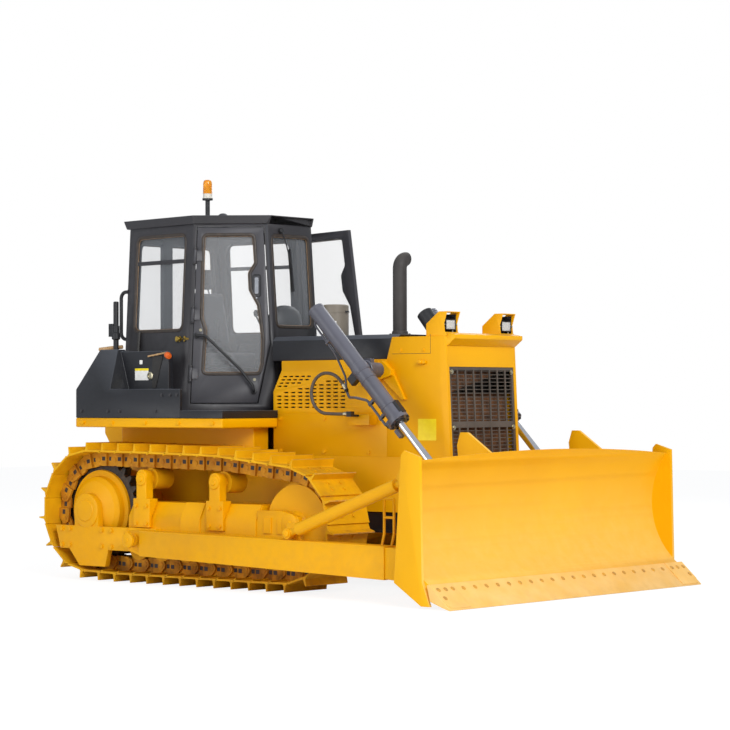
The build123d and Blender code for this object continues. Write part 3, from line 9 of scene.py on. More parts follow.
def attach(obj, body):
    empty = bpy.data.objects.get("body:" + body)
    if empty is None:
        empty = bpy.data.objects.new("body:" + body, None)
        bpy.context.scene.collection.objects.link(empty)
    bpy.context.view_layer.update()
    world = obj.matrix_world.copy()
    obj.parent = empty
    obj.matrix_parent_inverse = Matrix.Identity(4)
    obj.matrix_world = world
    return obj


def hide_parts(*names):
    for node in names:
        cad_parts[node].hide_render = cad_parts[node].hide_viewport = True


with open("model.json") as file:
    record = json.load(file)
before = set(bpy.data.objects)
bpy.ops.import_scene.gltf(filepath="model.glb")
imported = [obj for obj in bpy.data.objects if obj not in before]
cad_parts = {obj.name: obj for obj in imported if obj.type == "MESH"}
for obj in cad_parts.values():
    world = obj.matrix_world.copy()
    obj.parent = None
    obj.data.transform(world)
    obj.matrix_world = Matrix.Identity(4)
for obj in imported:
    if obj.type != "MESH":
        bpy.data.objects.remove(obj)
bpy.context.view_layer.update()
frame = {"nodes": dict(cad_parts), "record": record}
nodes, record = frame["nodes"], frame["record"]
print("frame loaded:", len(nodes), "nodes")

mm = 0.001
sprocketX = -1871  # station 0, the sprocket's axle
bothSides = ((-1, "right"), (1, "left"))


# A point in metres from a station, a distance to the left and a height in millimetres.
def place(station, y, z):
    return Vector(((sprocketX + station) * mm, y * mm, z * mm))


def configure(thing, **settings):
    for name, value in settings.items():
        setattr(thing, name, value)
    return thing


# An object of that name in the scene.
def stood(name, data):
    made = bpy.data.objects.new(name, data)
    bpy.context.scene.collection.objects.link(made)
    return made


# Camera: the photograph's angle, its place in metres and its turns in degrees
camera = {
    "stand": (13.891, -15.949, 1.555), "azimuth": 40.42, "elevation": -0.81, "roll": 0.13,
    "lens": 121.96,
}


def makeCamera(spec):
    azimuth, elevation, roll = (math.radians(spec[key]) for key in ("azimuth", "elevation", "roll"))
    back = Vector((math.sin(azimuth) * math.cos(elevation), -math.cos(azimuth) * math.cos(elevation),
            math.sin(elevation)))
    data = bpy.data.cameras.new("photoCamera")
    made = stood("photoCamera", configure(data, lens=spec["lens"], sensor_width=36, clip_end=200))
    aim = (-back).to_track_quat("-Z", "Y") @ Matrix.Rotation(-roll, 4, "Z").to_quaternion()
    configure(made, location=spec["stand"], rotation_mode="QUATERNION", rotation_quaternion=aim)
    bpy.context.scene.camera = made


makeCamera(camera)
bpy.context.scene.view_settings.view_transform = "Standard"
print("camera stands")

# Colours and nodes
look = {}  # every material by its name


# An sRGB hex colour as the linear colour that a shader takes.
def linear(hexColour):
    values = [int(hexColour[i:i + 2], 16) / 255 for i in (1, 3, 5)]
    return tuple(v / 12.92 if v <= 0.04045 else ((v + 0.055) / 1.055) ** 2.4 for v in values) + (1.0,)


# Gives inputs their values or links, by name or number.
def finish(tree, inputs, values):
    for name, value in values.items():
        if isinstance(value, bpy.types.NodeSocket):
            tree.links.new(value, inputs[name])
        else:
            inputs[name].default_value = value


# Adds one node with its settings, its fixed inputs and its links.
def addNode(tree, kind, inputs=None, **settings):
    made = configure(tree.nodes.new("ShaderNode" + kind), **settings)
    finish(tree, made.inputs, inputs or {})
    return made


# A new material with the inputs of its shader and the object's own coordinates in metres.
def newMaterial(name):
    look[name] = bpy.data.materials.new(name)
    look[name].use_nodes = True
    tree = look[name].node_tree
    return tree, tree.nodes["Principled BSDF"].inputs, addNode(tree, "TexCoord").outputs["Object"]


# A noise whose grain is given in millimetres.
def grain(where, size, detail, roughness=0.5):
    return addNode(where.id_data, "TexNoise", {"Vector": where, "Scale": 1000 / size, "Detail": detail,
            "Roughness": roughness}).outputs["Fac"]


# Stretches the part of a value between low and high to 0..1.
def between(value, low, high, toLow=0.0, toHigh=1.0):
    return addNode(value.id_data, "MapRange", {"Value": value, "From Min": low, "From Max": high, "To Min": toLow,
            "To Max": toHigh}).outputs["Result"]


def blendColour(share, first, second):
    return addNode(share.id_data, "Mix", {"Factor": share, 6: first, 7: second}, data_type="RGBA").outputs[2]


def twoTone(share, bright, deep):
    return blendColour(share, linear(deep), linear(bright))


def combine(first, second, operation="MULTIPLY"):
    return addNode(first.id_data, "Math", {0: first, 1: second}, operation=operation).outputs[0]


def parts(vector):
    return addNode(vector.id_data, "SeparateXYZ", {"Vector": vector}).outputs


def bump(height, strength, rise=0.0005):
    return addNode(height.id_data, "Bump", {"Height": height, "Strength": strength, "Distance": rise}).outputs[0]


# Alkyd enamel sprayed on steel plate: even gloss with a fine orange peel, paler where dust lies on it
def alkydEnamel(name, bright, deep, dustColour, patch, dust, dustTop, roughness, peel, even=0.42, aheadFrom=None):
    tree, shader, where = newMaterial(name)
    paint = twoTone(between(grain(where, patch, 4), 0.35, 0.65), bright, deep)
    facing = parts(addNode(tree, "NewGeometry").outputs["Normal"])
    lying = between(facing["Z"], 0.3, 0.95)
    low = between(parts(where)["Z"], dustTop * mm, 0.0)
    patches = between(grain(where, 90, 6, 0.6), even, 0.72)
    settled = combine(combine(lying, 0.8), low, "MAXIMUM")
    dusted = combine(combine(settled, patches), dust)
    if aheadFrom is not None:  # only faces that look ahead by this much or more
        dusted = combine(dusted, between(facing["X"], aheadFrom, aheadFrom + 0.4))
    finish(tree, shader, {"Base Color": blendColour(dusted, paint, linear(dustColour)),
            "Roughness": between(dusted, 0, 0.6, roughness, 0.8),
            "Normal": bump(grain(where, 5, 2), peel, 0.0006), "Specular IOR Level": 0.2})


# bright, deep, colour of the dust, width of the tone's patches in mm, amount of dust and its top in mm,
# roughness, orange peel; for the blade also how even the dust is, and from which slant it lies
enamels = {
    "yellowEnamel": ("#EEAD00", "#E6A300", "#C08A36", 700, 0.3, 900, 0.38, 0.12),
    # the blade's face is paler toward its foot and where it faces up
    "bladeEnamel": ("#F0B004", "#EAA802", "#F5CC78", 900, 0.75, 1000, 0.45, 0.1, -0.5, 0.2),
    # the running gear holds brown soil toward the ground and on its upward faces
    "trackEnamel": ("#E8AE0C", "#DA9E08", "#A5742E", 240, 0.55, 700, 0.5, 0.15),
    # links and pins: thinner paint, dark brown soil toward the ground and on upward faces
    "chainEnamel": ("#D8981C", "#B4761A", "#5E4020", 120, 0.8, 900, 0.52, 0.2),
    # grouser tips and bolts of the cutting edge, where the soil grinds the paint thin and brown
    "groundSteel": ("#E2A63C", "#B88A4A", "#8F7350", 45, 0.5, 200, 0.45, 0.2),
    # thin paint rubbed off by the ground: pale with bare spots
    "palePaint": ("#F6C878", "#F0BC60", "#D8B27A", 220, 0.4, 220, 0.48, 0.15),
}
for name, values in enamels.items():
    alkydEnamel(name, *values)


# Polyester powder coat baked on sheet steel: satin with a fine even texture
def powderCoat(name, bright, deep, dustColour, dust, roughness):
    tree, shader, where = newMaterial(name)
    paint = twoTone(between(grain(where, 400, 4), 0.35, 0.65), bright, deep)
    facing = parts(addNode(tree, "NewGeometry").outputs["Normal"])
    dusted = combine(between(facing["Z"], 0.35, 0.95), dust)
    finish(tree, shader, {"Base Color": blendColour(dusted, paint, linear(dustColour)),
            "Roughness": between(grain(where, 60, 4), 0.3, 0.7, roughness - 0.06, roughness + 0.06),
            "Normal": bump(grain(where, 3, 2), 0.15)})


# bright, deep, colour and amount of the dust, roughness
coats = {
    "charcoalCoat": ("#312F32", "#2A292B", "#77797F", 0.45, 0.45),
    "doorCoat": ("#424145", "#3A393D", "#77797F", 0.45, 0.45),  # the doors' newer coat, a little greyer
    "inkCoat": ("#1E1F24", "#18191D", "#70747C", 0.55, 0.42),  # the hood's darker, bluer sheet
    "cylinderCoat": ("#5A5A63", "#4D4D55", "#8A8B96", 0.5, 0.34),
    # heat paint also darkens the track links' bolt windows, as painted shade there
    "heatPaint": ("#3A3634", "#2E2B2A", "#6A645C", 0.4, 0.62),  # silicone paint, dulled by the exhaust's heat
    "grilleCoat": ("#5C5248", "#463E36", "#8A7A66", 0.5, 0.5),  # black once, greyed and browned by road dust
    "dustyCan": ("#857C6E", "#6E665A", "#A49A88", 0.5, 0.48),
    "blackSteel": ("#222224", "#1A1A1C", "#3A3836", 0.4, 0.5),
}
for name, values in coats.items():
    powderCoat(name, *values)


# Rubber, plastic, vinyl and metal as moulded, rolled or plated: one colour with a light mottle of its own
def plainStuff(name, bright, deep, roughness, metallic=0.0, bumps=0.15, patch=30, grit=2):
    tree, shader, where = newMaterial(name)
    tone = between(grain(where, patch, 4), 0.3, 0.7)
    finish(tree, shader, {"Base Color": twoTone(tone, bright, deep),
            "Roughness": roughness, "Metallic": metallic,
            "Normal": bump(grain(where, grit, 2), bumps)})


# bright, deep, roughness; then metallic, bumps, width of the mottle and of the grit in millimetres
stuffs = {
    "hardChrome": ("#E4E4E6", "#D6D6DA", 0.08, 1.0, 0.02), "zincPlate": ("#C9C2A8", "#AFA68A", 0.3, 1.0),
    "greasySteel": ("#4A3A28", "#1C1814", 0.42, 0, 0.15, 50),
    "nitrileRubber": ("#2B2825", "#211F1D", 0.55, 0, 0.15, 30, 4),
    "hoseRubber": ("#5A4F44", "#463D35", 0.45, 0, 0.15, 30, 4),
    "blackPlastic": ("#1F2023", "#18191B", 0.5, 0, 0.15, 30, 3),
    "coreFins": ("#8A5A32", "#4A3222", 0.6, 0.3, 0.15, 60), "paleVinyl": ("#F2F1EC", "#E8E6DE", 0.35),
    # next line: the gaskets' pale brown lip, a painted highlight on black rubber
    "yellowVinyl": ("#FBE21C", "#F5D812", 0.35), "lipRubber": ("#8A6E50", "#6A543E", 0.4),
    "brassPlate": ("#D8B85C", "#B8963C", 0.32, 1.0), "lampReflector": ("#F2F2F0", "#E2E2E0", 0.12, 1.0, 0.02),
    "paleFoot": ("#E4DFD2", "#D2CCBC", 0.3), "tanHose": ("#C8A274", "#AE8858", 0.5),
    "orangeKnob": ("#E86A1C", "#CC5410", 0.35), "sealRubber": ("#40352B", "#2C2520", 0.4),
}
for name, values in stuffs.items():
    plainStuff(name, *values)


# Woven polyester upholstery: crossed threads, dull and soft to the eye
def wovenPolyester(name, bright, deep, worn, thread):
    tree, shader, where = newMaterial(name)
    x, y, z = (addNode(tree, "TexWave", {"Vector": where, "Scale": 2 * math.pi / 20 / (thread * mm),
            "Distortion": 0.6, "Detail": 1}, bands_direction=way).outputs["Fac"] for way in "XYZ")
    weave = combine(combine(x, y, "MAXIMUM"), z)
    tone = between(grain(where, 120, 4), 0.35, 0.65)
    shade = twoTone(combine(weave, 0.5), bright, deep)
    finish(tree, shader, {"Base Color": blendColour(combine(tone, 0.3), shade, linear(worn)),
            "Roughness": 0.85, "Sheen Weight": 0.3, "Normal": bump(weave, 0.35, 0.0006)})


# thread in millimetres, coarser than the real one so that it shows
wovenPolyester("seatCloth", bright="#34343A", deep="#1C1C20", worn="#4A4A50", thread=2.4)


# Float glass: clear, a little grey, brighter in its reflections at a slant
def floatGlass(name, tint, roughness, body, edge):
    tree, shader, where = newMaterial(name)
    slant = addNode(tree, "LayerWeight", {"Blend": 0.25}).outputs["Fresnel"]
    finish(tree, shader, {"Base Color": linear(tint), "Roughness": roughness, "IOR": 1.5,
            "Alpha": between(slant, 0.0, 1.0, body, edge)})
    look[name].surface_render_method = "BLENDED"


# tint, roughness, cover seen straight on and at a slant
floatGlass("windowGlass", "#B4B8BC", 0.03, 0.05, 0.25)
floatGlass("doorGlass", "#E8EAEC", 0.06, 0.12, 0.3)
floatGlass("lampGlass", "#E8E8E4", 0.08, 0.45, 0.7)


# Moulded polycarbonate: clear amber with light passing through
def mouldedPolycarbonate(name, bright, deep, through):
    tree, shader, where = newMaterial(name)
    finish(tree, shader, {"Base Color": twoTone(between(grain(where, 40, 3), 0.3, 0.7), bright, deep),
            "Roughness": 0.15, "IOR": 1.58, "Transmission Weight": through})


mouldedPolycarbonate("amberLens", bright="#FFAE1A", deep="#F49408", through=0.35)
print("materials mixed")

slotMaterial = {
    "yellow_paint": "yellowEnamel", "charcoal_paint": "charcoalCoat", "track_steel": "trackEnamel",
    "worn_steel": "palePaint", "chrome_rod": "hardChrome", "black_rubber": "nitrileRubber",
    "black_plastic": "blackPlastic", "seat_cloth": "seatCloth", "window_glass": "windowGlass",
    "lamp_glass": "lampGlass", "amber_lens": "amberLens", "black_steel": "blackSteel", "core_metal": "coreFins",
}
ownMaterial = {
    "inkCoat": "hood hydraulic_tank battery_box cab_deck", "cylinderCoat": "lift_barrel_right lift_barrel_left",
    "bladeEnamel": "moldboard", "heatPaint": "exhaust_stack", "greasySteel": "sprockets",
    "grilleCoat": "radiator_grille", "dustyCan": "air_cleaner", "doorCoat": "door_right door_left",
    "doorGlass": "door_glass_right door_glass_left",
}
slotOf = {part["node"]: part["material_slot"] for part in record["subparts"]}
finishOf = {node: slotMaterial[slot] for node, slot in slotOf.items()}
finishOf.update({node: name for name, members in ownMaterial.items() for node in members.split()})
bodyOf = {node: body for body, members in record["behaviour"]["bodies"].items() for node in members}


def paint(thing, name):
    thing.data.materials.clear()
    thing.data.materials.append(look[finishOf[name]])


for name, thing in nodes.items():
    paint(thing, name)


def fill(mesh, shape):
    shape.to_mesh(mesh)
    shape.free()
    return mesh


# Rounds the edges of an object that are sharper than an angle.
def bevelled(made, width, angle):
    configure(made.modifiers.new("edges", "BEVEL"), width=width * mm, segments=2, limit_method="ANGLE",
        angle_limit=math.radians(angle), harden_normals=True)


# A copy of a CAD node with its edges rounded by a small bevel, standing for that node.
def softened(name, width):
    mesh = nodes[name].data.copy()
    shape = bmesh.new()
    shape.from_mesh(mesh)
    bmesh.ops.remove_doubles(shape, verts=shape.verts, dist=0.00002)
    bmesh.ops.dissolve_limit(shape, angle_limit=math.radians(1.0), verts=shape.verts, edges=shape.edges)
    for item in [*shape.faces, *shape.edges]:
        item.smooth = True
    made = stood(name + "Painted", fill(mesh, shape))
    bevelled(made, width, 30)
    paint(made, name)
    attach(made, bodyOf[name])
    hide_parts(name)


softWidth = {
    "radiator_guard": 12, "engine_side_panels": 2, "louvre_panels": 3, "hood": 5, "lamp_housings": 3,
    "fenders": 12, "cab_deck": 4, "hydraulic_tank": 6, "battery_box": 6, "fuel_tank": 8,
    "cab_side_walls": 5, "cab_front_wall": 5, "cab_rear_wall": 5, "cab_door_frames": 3, "cab_roof": 6,
    "door_left": 5, "door_right": 5, "moldboard": 4, "cutting_edge": 3, "push_arms": 5,
    "lift_yokes": 3, "track_frame_right": 5, "track_frame_left": 5, "carrier_brackets": 4,
    "main_frame": 4, "belly_guard": 3, "equalizer_bar": 5, "drawbar": 6, "console": 20,
    "radiator_grille": 2, "sprockets": 3,
}
for name, width in softWidth.items():
    softened(name, width)
print("sheet metal edges rounded")


# Shapes: millimetres in a piece's own frame, metres on the machine
# A frame that turns millimetres into metres on the machine.
def seat(origin, xWay, zWay):
    z = Vector(zWay).normalized()
    x = Vector(xWay)
    x = (x - z * x.dot(z)).normalized()
    turn = Matrix((x, z.cross(x), z)).transposed().to_4x4()
    return Matrix.Translation(Vector(origin)) @ turn @ Matrix.Scale(mm, 4)


def moved(at, x, y, z=0):
    return at @ Matrix.Translation((x, y, z))


outside, upward = (0, -1, 0), (0, 0, 1)
level = seat(place(0, 0, 0), (1, 0, 0), upward)  # stations, distances to the left, heights
sideView = seat(place(0, 0, 0), (1, 0, 0), outside)  # stations, heights, distances to the right
upright = Matrix.Rotation(math.radians(90), 4, "X")


# A frame at a point of the machine whose z looks a given way.
def facing(station, y, z, way=outside, across=(1, 0, 0)):
    return seat(place(station, y, z), across, way)


# Points round a circle, the first one turned by a share of their spacing.
def circle(radius, count, along=0, start=0):
    turns = (2 * math.pi * (i + start) / count for i in range(count))
    return [Vector((radius * math.cos(a), radius * math.sin(a), along)) for a in turns]


# Skins rings of points: each joined to the next, and the ends capped or joined to each other.
def skin(shape, rings, at, slot=0, closed=False):
    rings = [[shape.verts.new(at @ Vector(point)) for point in ring] for ring in rings]
    made = []
    for a, b in zip(rings, rings[1:] + rings[:1] if closed else rings[1:]):
        count = max(len(a), len(b))
        for i in range(count):
            j = (i + 1) % count
            corners = (a[i % len(a)], a[j % len(a)], b[j % len(b)], b[i % len(b)])
            made.append(shape.faces.new(tuple(dict.fromkeys(corners))))
    for ring in () if closed else (rings[0][::-1], rings[-1]):
        if len(ring) > 1:
            made.append(shape.faces.new(ring))
    for face in made:
        face.material_index = slot
    return made


# A prism: its outline in the frame's x and y, from low to high along z.
def prism(shape, outline, low, high, at, slot=0):
    return skin(shape, [[(x, y, z) for x, y, *rest in outline] for z in (low, high)], at, slot)


# A turned piece: its profile given as radius and distance along z.
def turned(shape, profile, at, sides=24, slot=0):
    skin(shape, [circle(radius, sides, z) if radius else [(0, 0, z)] for radius, z in profile], at, slot)


# The points that round one corner, no longer than a share of the runs beside it.
def corner(before, here, after, bend, share):
    inward, outward = before - here, after - here
    reach = bend * math.tan((math.pi - inward.normalized().angle(outward.normalized())) / 2)
    reach = min(reach, share * inward.length, share * outward.length)
    start, end = here + inward.normalized() * reach, here + outward.normalized() * reach
    return [start * (1 - t) ** 2 + here * 2 * t * (1 - t) + end * t * t for t in (step / 6 for step in range(7))]


# A closed outline with rounded corners.
def roundedLoop(points, radius):
    points = [Vector((*point, 0)) for point in points]
    triples = zip(points[-1:] + points, points, points[1:] + points[:1])
    return [spot for triple in triples for spot in corner(*triple, radius, math.inf)]


def box(x0, y0, x1, y1):
    return (x0, y0), (x1, y0), (x1, y1), (x0, y1)


def rounded(x0, y0, x1, y1, radius):
    return roundedLoop(box(x0, y0, x1, y1), radius)


# A round bar along a line of points, its corners bent to a radius.
def bar(shape, line, bend, radius, at, sides=12, slot=0):
    line = [Vector(point) for point in line]
    if bend:
        inner = [spot for triple in zip(line, line[1:], line[2:]) for spot in corner(*triple, bend, 0.49)]
        line = [line[0], *inner, line[-1]]
    side = (line[1] - line[0]).normalized().orthogonal().normalized()
    rings = []
    for before, point, after in zip(line[:1] + line, line, line[1:] + line[-1:]):
        way = (after - before).normalized()
        side = (side - way * side.dot(way)).normalized()
        other = way.cross(side)
        rings.append([point + side * x + other * y for x, y, z in circle(radius, sides)])
    skin(shape, rings, at, slot)


# A hexagon head bolt with its washer, standing on a face.
def bolt(shape, at, across, rise, slot=0):
    turned(shape, [(across * 0.78, 0), (across * 0.78, 3)], at, 16, slot)
    prism(shape, circle(across / 2 / math.cos(math.pi / 6), 6), 3, rise, at, slot)


# A strip with a closed section run round a loop: the section's x is outward from the loop, y is height.
def addRing(shape, loop, section, at, slot=0):
    area = sum(before.x * point.y - point.x * before.y for before, point in zip(loop[-1:] + loop, loop))
    rings = []
    for before, point, after in zip(loop[-1:] + loop, loop, loop[1:] + loop[:1]):
        way = (after - before).normalized()
        out = Vector((way.y, -way.x, 0)) * math.copysign(1, area)
        rings.append([point + out * x + Vector((0, 0, z)) for x, z in section])
    skin(shape, rings, at, slot, closed=True)


# Turns the shape over to the machine's other side.
def flip(shape, verts, faces):
    for vertex in verts:
        vertex.co.y = -vertex.co.y
    bmesh.ops.reverse_faces(shape, faces=faces)


# Copies everything in the shape to the machine's other side.
def mirror(shape):
    copies = bmesh.ops.duplicate(shape, geom=shape.verts[:] + shape.edges[:] + shape.faces[:])["geom"]
    flip(shape, *([item for item in copies if isinstance(item, kind)]
            for kind in (bmesh.types.BMVert, bmesh.types.BMFace)))


# Turns a shape into a piece of the machine.
def piece(name, shape, materials, body="machine", bevel=0.0, smooth=35, standsFor=None):
    bmesh.ops.recalc_face_normals(shape, faces=shape.faces)
    mesh = fill(bpy.data.meshes.new(name), shape)
    for material in materials:
        mesh.materials.append(look[material])
    mesh.shade_smooth()
    mesh.set_sharp_from_angle(angle=math.radians(smooth))
    made = stood(name, mesh)
    if bevel:
        bevelled(made, bevel, smooth)
    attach(made, body)
    if standsFor:
        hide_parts(standsFor)


# Hoses of the lift cylinders, on the route of the CAD tubes
hoseRoute = {
    "diameter": 28, "length": 1.018, "y": 640,
    # station and height, from the fitting on the side bracket to the pipe on the cylinder
    "points": ((2540, 1440), (2443, 1440), (2345, 1442), (2251, 1447), (2165, 1510), (2132, 1612), (2165, 1714),
        (2251, 1777), (2360, 1777), (2455, 1729), (2518, 1646)),
}


# A hose as a smooth spline through its route's control points.
def makeHose(side, word):
    curve = bpy.data.curves.new(word + "Hose", "CURVE")
    configure(curve, dimensions="3D", resolution_u=12, bevel_depth=hoseRoute["diameter"] / 2 * mm,
        bevel_resolution=5, use_fill_caps=True)
    spline = curve.splines.new("NURBS")
    route = [place(station, hoseRoute["y"] * side, z) for station, z in hoseRoute["points"]]
    spline.points.add(len(route) - 1)
    for point, spot in zip(spline.points, route):
        point.co = (*spot, 1)
    spline.order_u = 3
    spline.use_endpoint_u = True
    curve.materials.append(look["hoseRubber"])
    made = stood(word + "Hose", curve)
    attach(made, "machine")
    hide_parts("hose_" + word)


for side, word in bothSides:
    makeHose(side, word)

# crimped ferrules: station, height, way of the hose there
ferrule = [(15, -8), (19, -6), (19, 0), (17.5, 4), (19, 8), (17.5, 14), (19, 18), (17.5, 24), (19, 28), (18, 44),
    (15, 46)]
ends = bmesh.new()
for x, z, way in ((2540, 1440, (-1, 0, 0)), (2518, 1646, (-0.61, 0, 0.79))):
    turned(ends, ferrule, facing(x, -640, z, way, (0, 1, 0)), 20)
mirror(ends)
piece("hoseFerrules", ends, ["zincPlate"], smooth=50)
print("hoses laid")

# Tracks
track = {
    "middle": 940, "shoeWidth": 510, "shoes": 37, "plate": 16, "grouser": 65, "linkInner": 55, "linkOuter": 70,
    # station, height and radius of each wheel to the line of the bushings
    "wheels": ((0, 602, 440), (653, 887, 148), (1514, 872, 148), (2330, 547, 392), (2045, 553, 400),
        (405, 553, 400)),
}


def onWheel(x, z, radius, a):
    return x + radius * math.cos(a), z + radius * math.sin(a)


# The belt as arcs and runs round the wheels: its length, and a function giving a point along it.
def beltLine(wheels):
    following = wheels[1:] + wheels[:1]
    leaving = [math.atan2(nextZ - z, nextX - x) + math.pi / 2
        + math.asin((nextRadius - radius) / math.hypot(nextX - x, nextZ - z))
        for (x, z, radius), (nextX, nextZ, nextRadius) in zip(wheels, following)]
    spans = []
    for index, ((x, z, radius), (nextX, nextZ, nextRadius)) in enumerate(zip(wheels, following)):
        start, a = leaving[index - 1], leaving[index]
        out, into = onWheel(x, z, radius, a), onWheel(nextX, nextZ, nextRadius, a)
        arc = radius * ((start - a) % (2 * math.pi))
        spans.append((arc, (x, z, radius, start), math.dist(out, into), out, into))
    whole = sum(span[0] + span[2] for span in spans)

    def along(length):
        length %= whole
        for arc, (x, z, radius, start), run, out, into in spans:
            if length <= arc:
                return onWheel(x, z, radius, start - length / radius)
            length -= arc
            if length <= run:
                return Vector(out).lerp(Vector(into), length / run)
            length -= run

    return whole, along


beltLength, alongBelt = beltLine(track["wheels"])
pitch = beltLength / track["shoes"]
# station and height of each pin, the first one again at the end
pins = [alongBelt(number % track["shoes"] * pitch) for number in range(track["shoes"] + 1)]
linkLength = math.dist(pins[0], pins[1])


# The frame of one link: x along the chain, y across to the machine's left, z outward from the loop.
def linkFrame(number, middle):
    (x1, z1), (x2, z2) = pins[number], pins[number + 1]
    way = Vector((x2 - x1, 0, z2 - z1)).normalized()
    return facing(x1, middle, z1, (-way.z, 0, way.x), way)


# One shoe: plate with its leading lip under the shoe before, one grouser and four bolts
def addShoe(shape, at):
    half = track["shoeWidth"] / 2
    low, high = track["linkOuter"], track["linkOuter"] + track["plate"]
    tip, end = high + track["grouser"], linkLength
    outline = ((-38, low - 12), (-10, low), (end - 34, low), (end - 12, low + 3), (end - 2, low + 9),
        (end - 2, high + 5), (end - 16, high + 1), (36, high), (27, high + 8), (20, tip), (8, tip),
        (2, high + 8), (-14, high - 4), (-38, low - 5))
    for face in prism(shape, outline, -half, half, at @ upright):
        if (at.inverted() @ face.calc_center_median()).z > high + track["grouser"] * 0.9:
            face.material_index = 1  # the ground tip
    for along in (62, 128):
        for across in (-72, 72):
            bolt(shape, moved(at, along, across, high), 27, 13)


# One link: two halves offset sideways, so that neighbours lap at the pin, with a dark plate in each bolt window
# that paints the shade in its hollow, and a pin end
def addLink(shape, at, side):
    inner, outer, end = -track["linkInner"], track["linkOuter"], linkLength
    turn = at @ upright
    middle = end / 2
    rear = ((34, inner), (middle, inner), (middle, outer), (12, outer), (-12, 46), (-38, 22), (-42, -6),
        (-22, inner + 14))
    front = ((middle, inner), (end - 34, inner), (end + 20, inner + 16), (end + 40, -8), (end + 40, 14),
        (end + 18, 40), (end - 8, outer - 6), (end - 20, outer), (middle, outer))
    for points, near, far, window in ((rear, 70, 92, -34), (front, 49, 71, 34)):
        low, high = sorted((-near * side, -far * side))
        prism(shape, points, low, high, turn)
        # a thin dark plate in the bolt window: painted shade where the window's hollow lies dark
        prism(shape, box(-20, -16, 20, 18), -1.2, 1.2, moved(turn, middle + window, 8, -far * side), 1)
    turned(shape, [(24, 0), (24, -4 * side), (14, -4 * side), (12, -side), (0, -side)],
        moved(turn, 0, 0, -92 * side), 16)


def makeTrack(side, word):
    shoes, chain, rods = bmesh.new(), bmesh.new(), bmesh.new()
    for number in range(track["shoes"]):
        at = linkFrame(number, track["middle"] * side)
        addShoe(shoes, at)
        for row in (-1, 1):
            addLink(chain, at, row)
        for radius, reach, sides in ((33, 49, 16), (20, 97, 12)):  # bushing and pin
            turned(rods, [(radius, -reach), (radius, reach)], at @ upright, sides)
    name = word.title()
    piece("trackShoes" + name, shoes, ["trackEnamel", "groundSteel"], bevel=2.0,
        standsFor="track_" + word)
    # the chain's second material is the painted shade in the links' bolt windows
    piece("trackChain" + name, chain, ["chainEnamel", "heatPaint"], bevel=4)
    piece("trackPins" + name, rods, ["chainEnamel"])


for side, word in bothSides:
    makeTrack(side, word)
print("tracks laid: pitch", round(pitch, 1), "mm")

# Cab trim
# corners of each wall: first and second at the sill, then at the roof, as station and distance to the left
cab = {
    "sill": 1470, "roof": 3075,
    "side": ((-80, -656), (831, -782), (-80, -563), (831, -689)),
    "door": ((831, -782), (1434, -277), (831, -689), (1317, -282)),
    "front": ((1434, -277), (1434, 277), (1317, -282), (1317, 282)),
    "rear": ((-80, 656), (-80, -656), (-80, 563), (-80, -563)),
    # windows: in from the wall's first or second edge, and height up the wall
    "sideWindow": ((0, 115, 1525), (1, 105, 1525), (1, 105, 690), (0, 115, 690)),
    "frontWindow": ((0, 45, 1515), (1, 45, 1515), (1, 45, 720), (0, 45, 720)),
    "rearWindow": ((0, 110, 1480), (1, 110, 1480), (1, 110, 640), (0, 110, 640)),
    "doorWindow": ((0, 86, 1514), (1, 119, 1514), (1, 118, 1265), (1, 176, 1180), (1, 177, 1040), (1, 113, 905),
        (1, 92, 610), (1, 112, 400), (1, 140, 312), (0, 124, 312), (0, 133, 690), (0, 96, 800)),
    "gasket": ((-13, -6), (-13, 1), (-9, 4), (8, 5), (13, 2), (13, -1), (0, -6)),
    "openAngle": 41,  # the left door as photographed
}


# The outer face of a cab wall: x along it from its first corner, y up it, z outward, in millimetres.
def wallSeat(name):
    first, second, top, _ = cab[name]
    origin = place(*first, cab["sill"])
    along = place(*second, cab["sill"]) - origin
    return seat(origin, along, along.cross(place(*top, cab["roof"]) - origin))


# A point on a wall, in from its first or second edge at a height up it.
def onWall(name, edge, inset, height):
    local = wallSeat(name).inverted()
    low = local @ place(*cab[name][edge], cab["sill"])
    high = local @ place(*cab[name][2 + edge], cab["roof"])
    x = low.x + (high.x - low.x) * height / high.y
    return (x + inset if edge == 0 else x - inset), height


# A window's gasket with a brown lip inside it: a painted highlight along the black gasket's inner edge
def addGasket(shape, wall, radius):
    loop = roundedLoop([onWall(wall, *spot) for spot in cab[wall + "Window"]], radius)
    addRing(shape, loop, cab["gasket"], wallSeat(wall))
    # the pale brown lip is a painted highlight along the black gasket's inner edge
    addRing(shape, loop, [(x * 0.3 - 14, z * 0.5 - 9) for x, z in cab["gasket"]], wallSeat(wall), 1)


seals = bmesh.new()
addGasket(seals, "side", 75)
mirror(seals)
addGasket(seals, "front", 60)
addGasket(seals, "rear", 70)
piece("windowGaskets", seals, ["sealRubber", "lipRubber"], smooth=60)


# Moves a shape drawn on the right door to the left door, mirrored and opened.
def openLeft(shape):
    hinge = next(joint for joint in record["behaviour"]["joints"] if joint["name"] == "left_door_hinge")
    pivot = Matrix.Translation(Vector(hinge["pos_m"]))
    turn = pivot @ Matrix.Rotation(math.radians(cab["openAngle"]), 4, Vector(hinge["axis"])) @ pivot.inverted()
    flip(shape, shape.verts, shape.faces)
    shape.transform(turn)


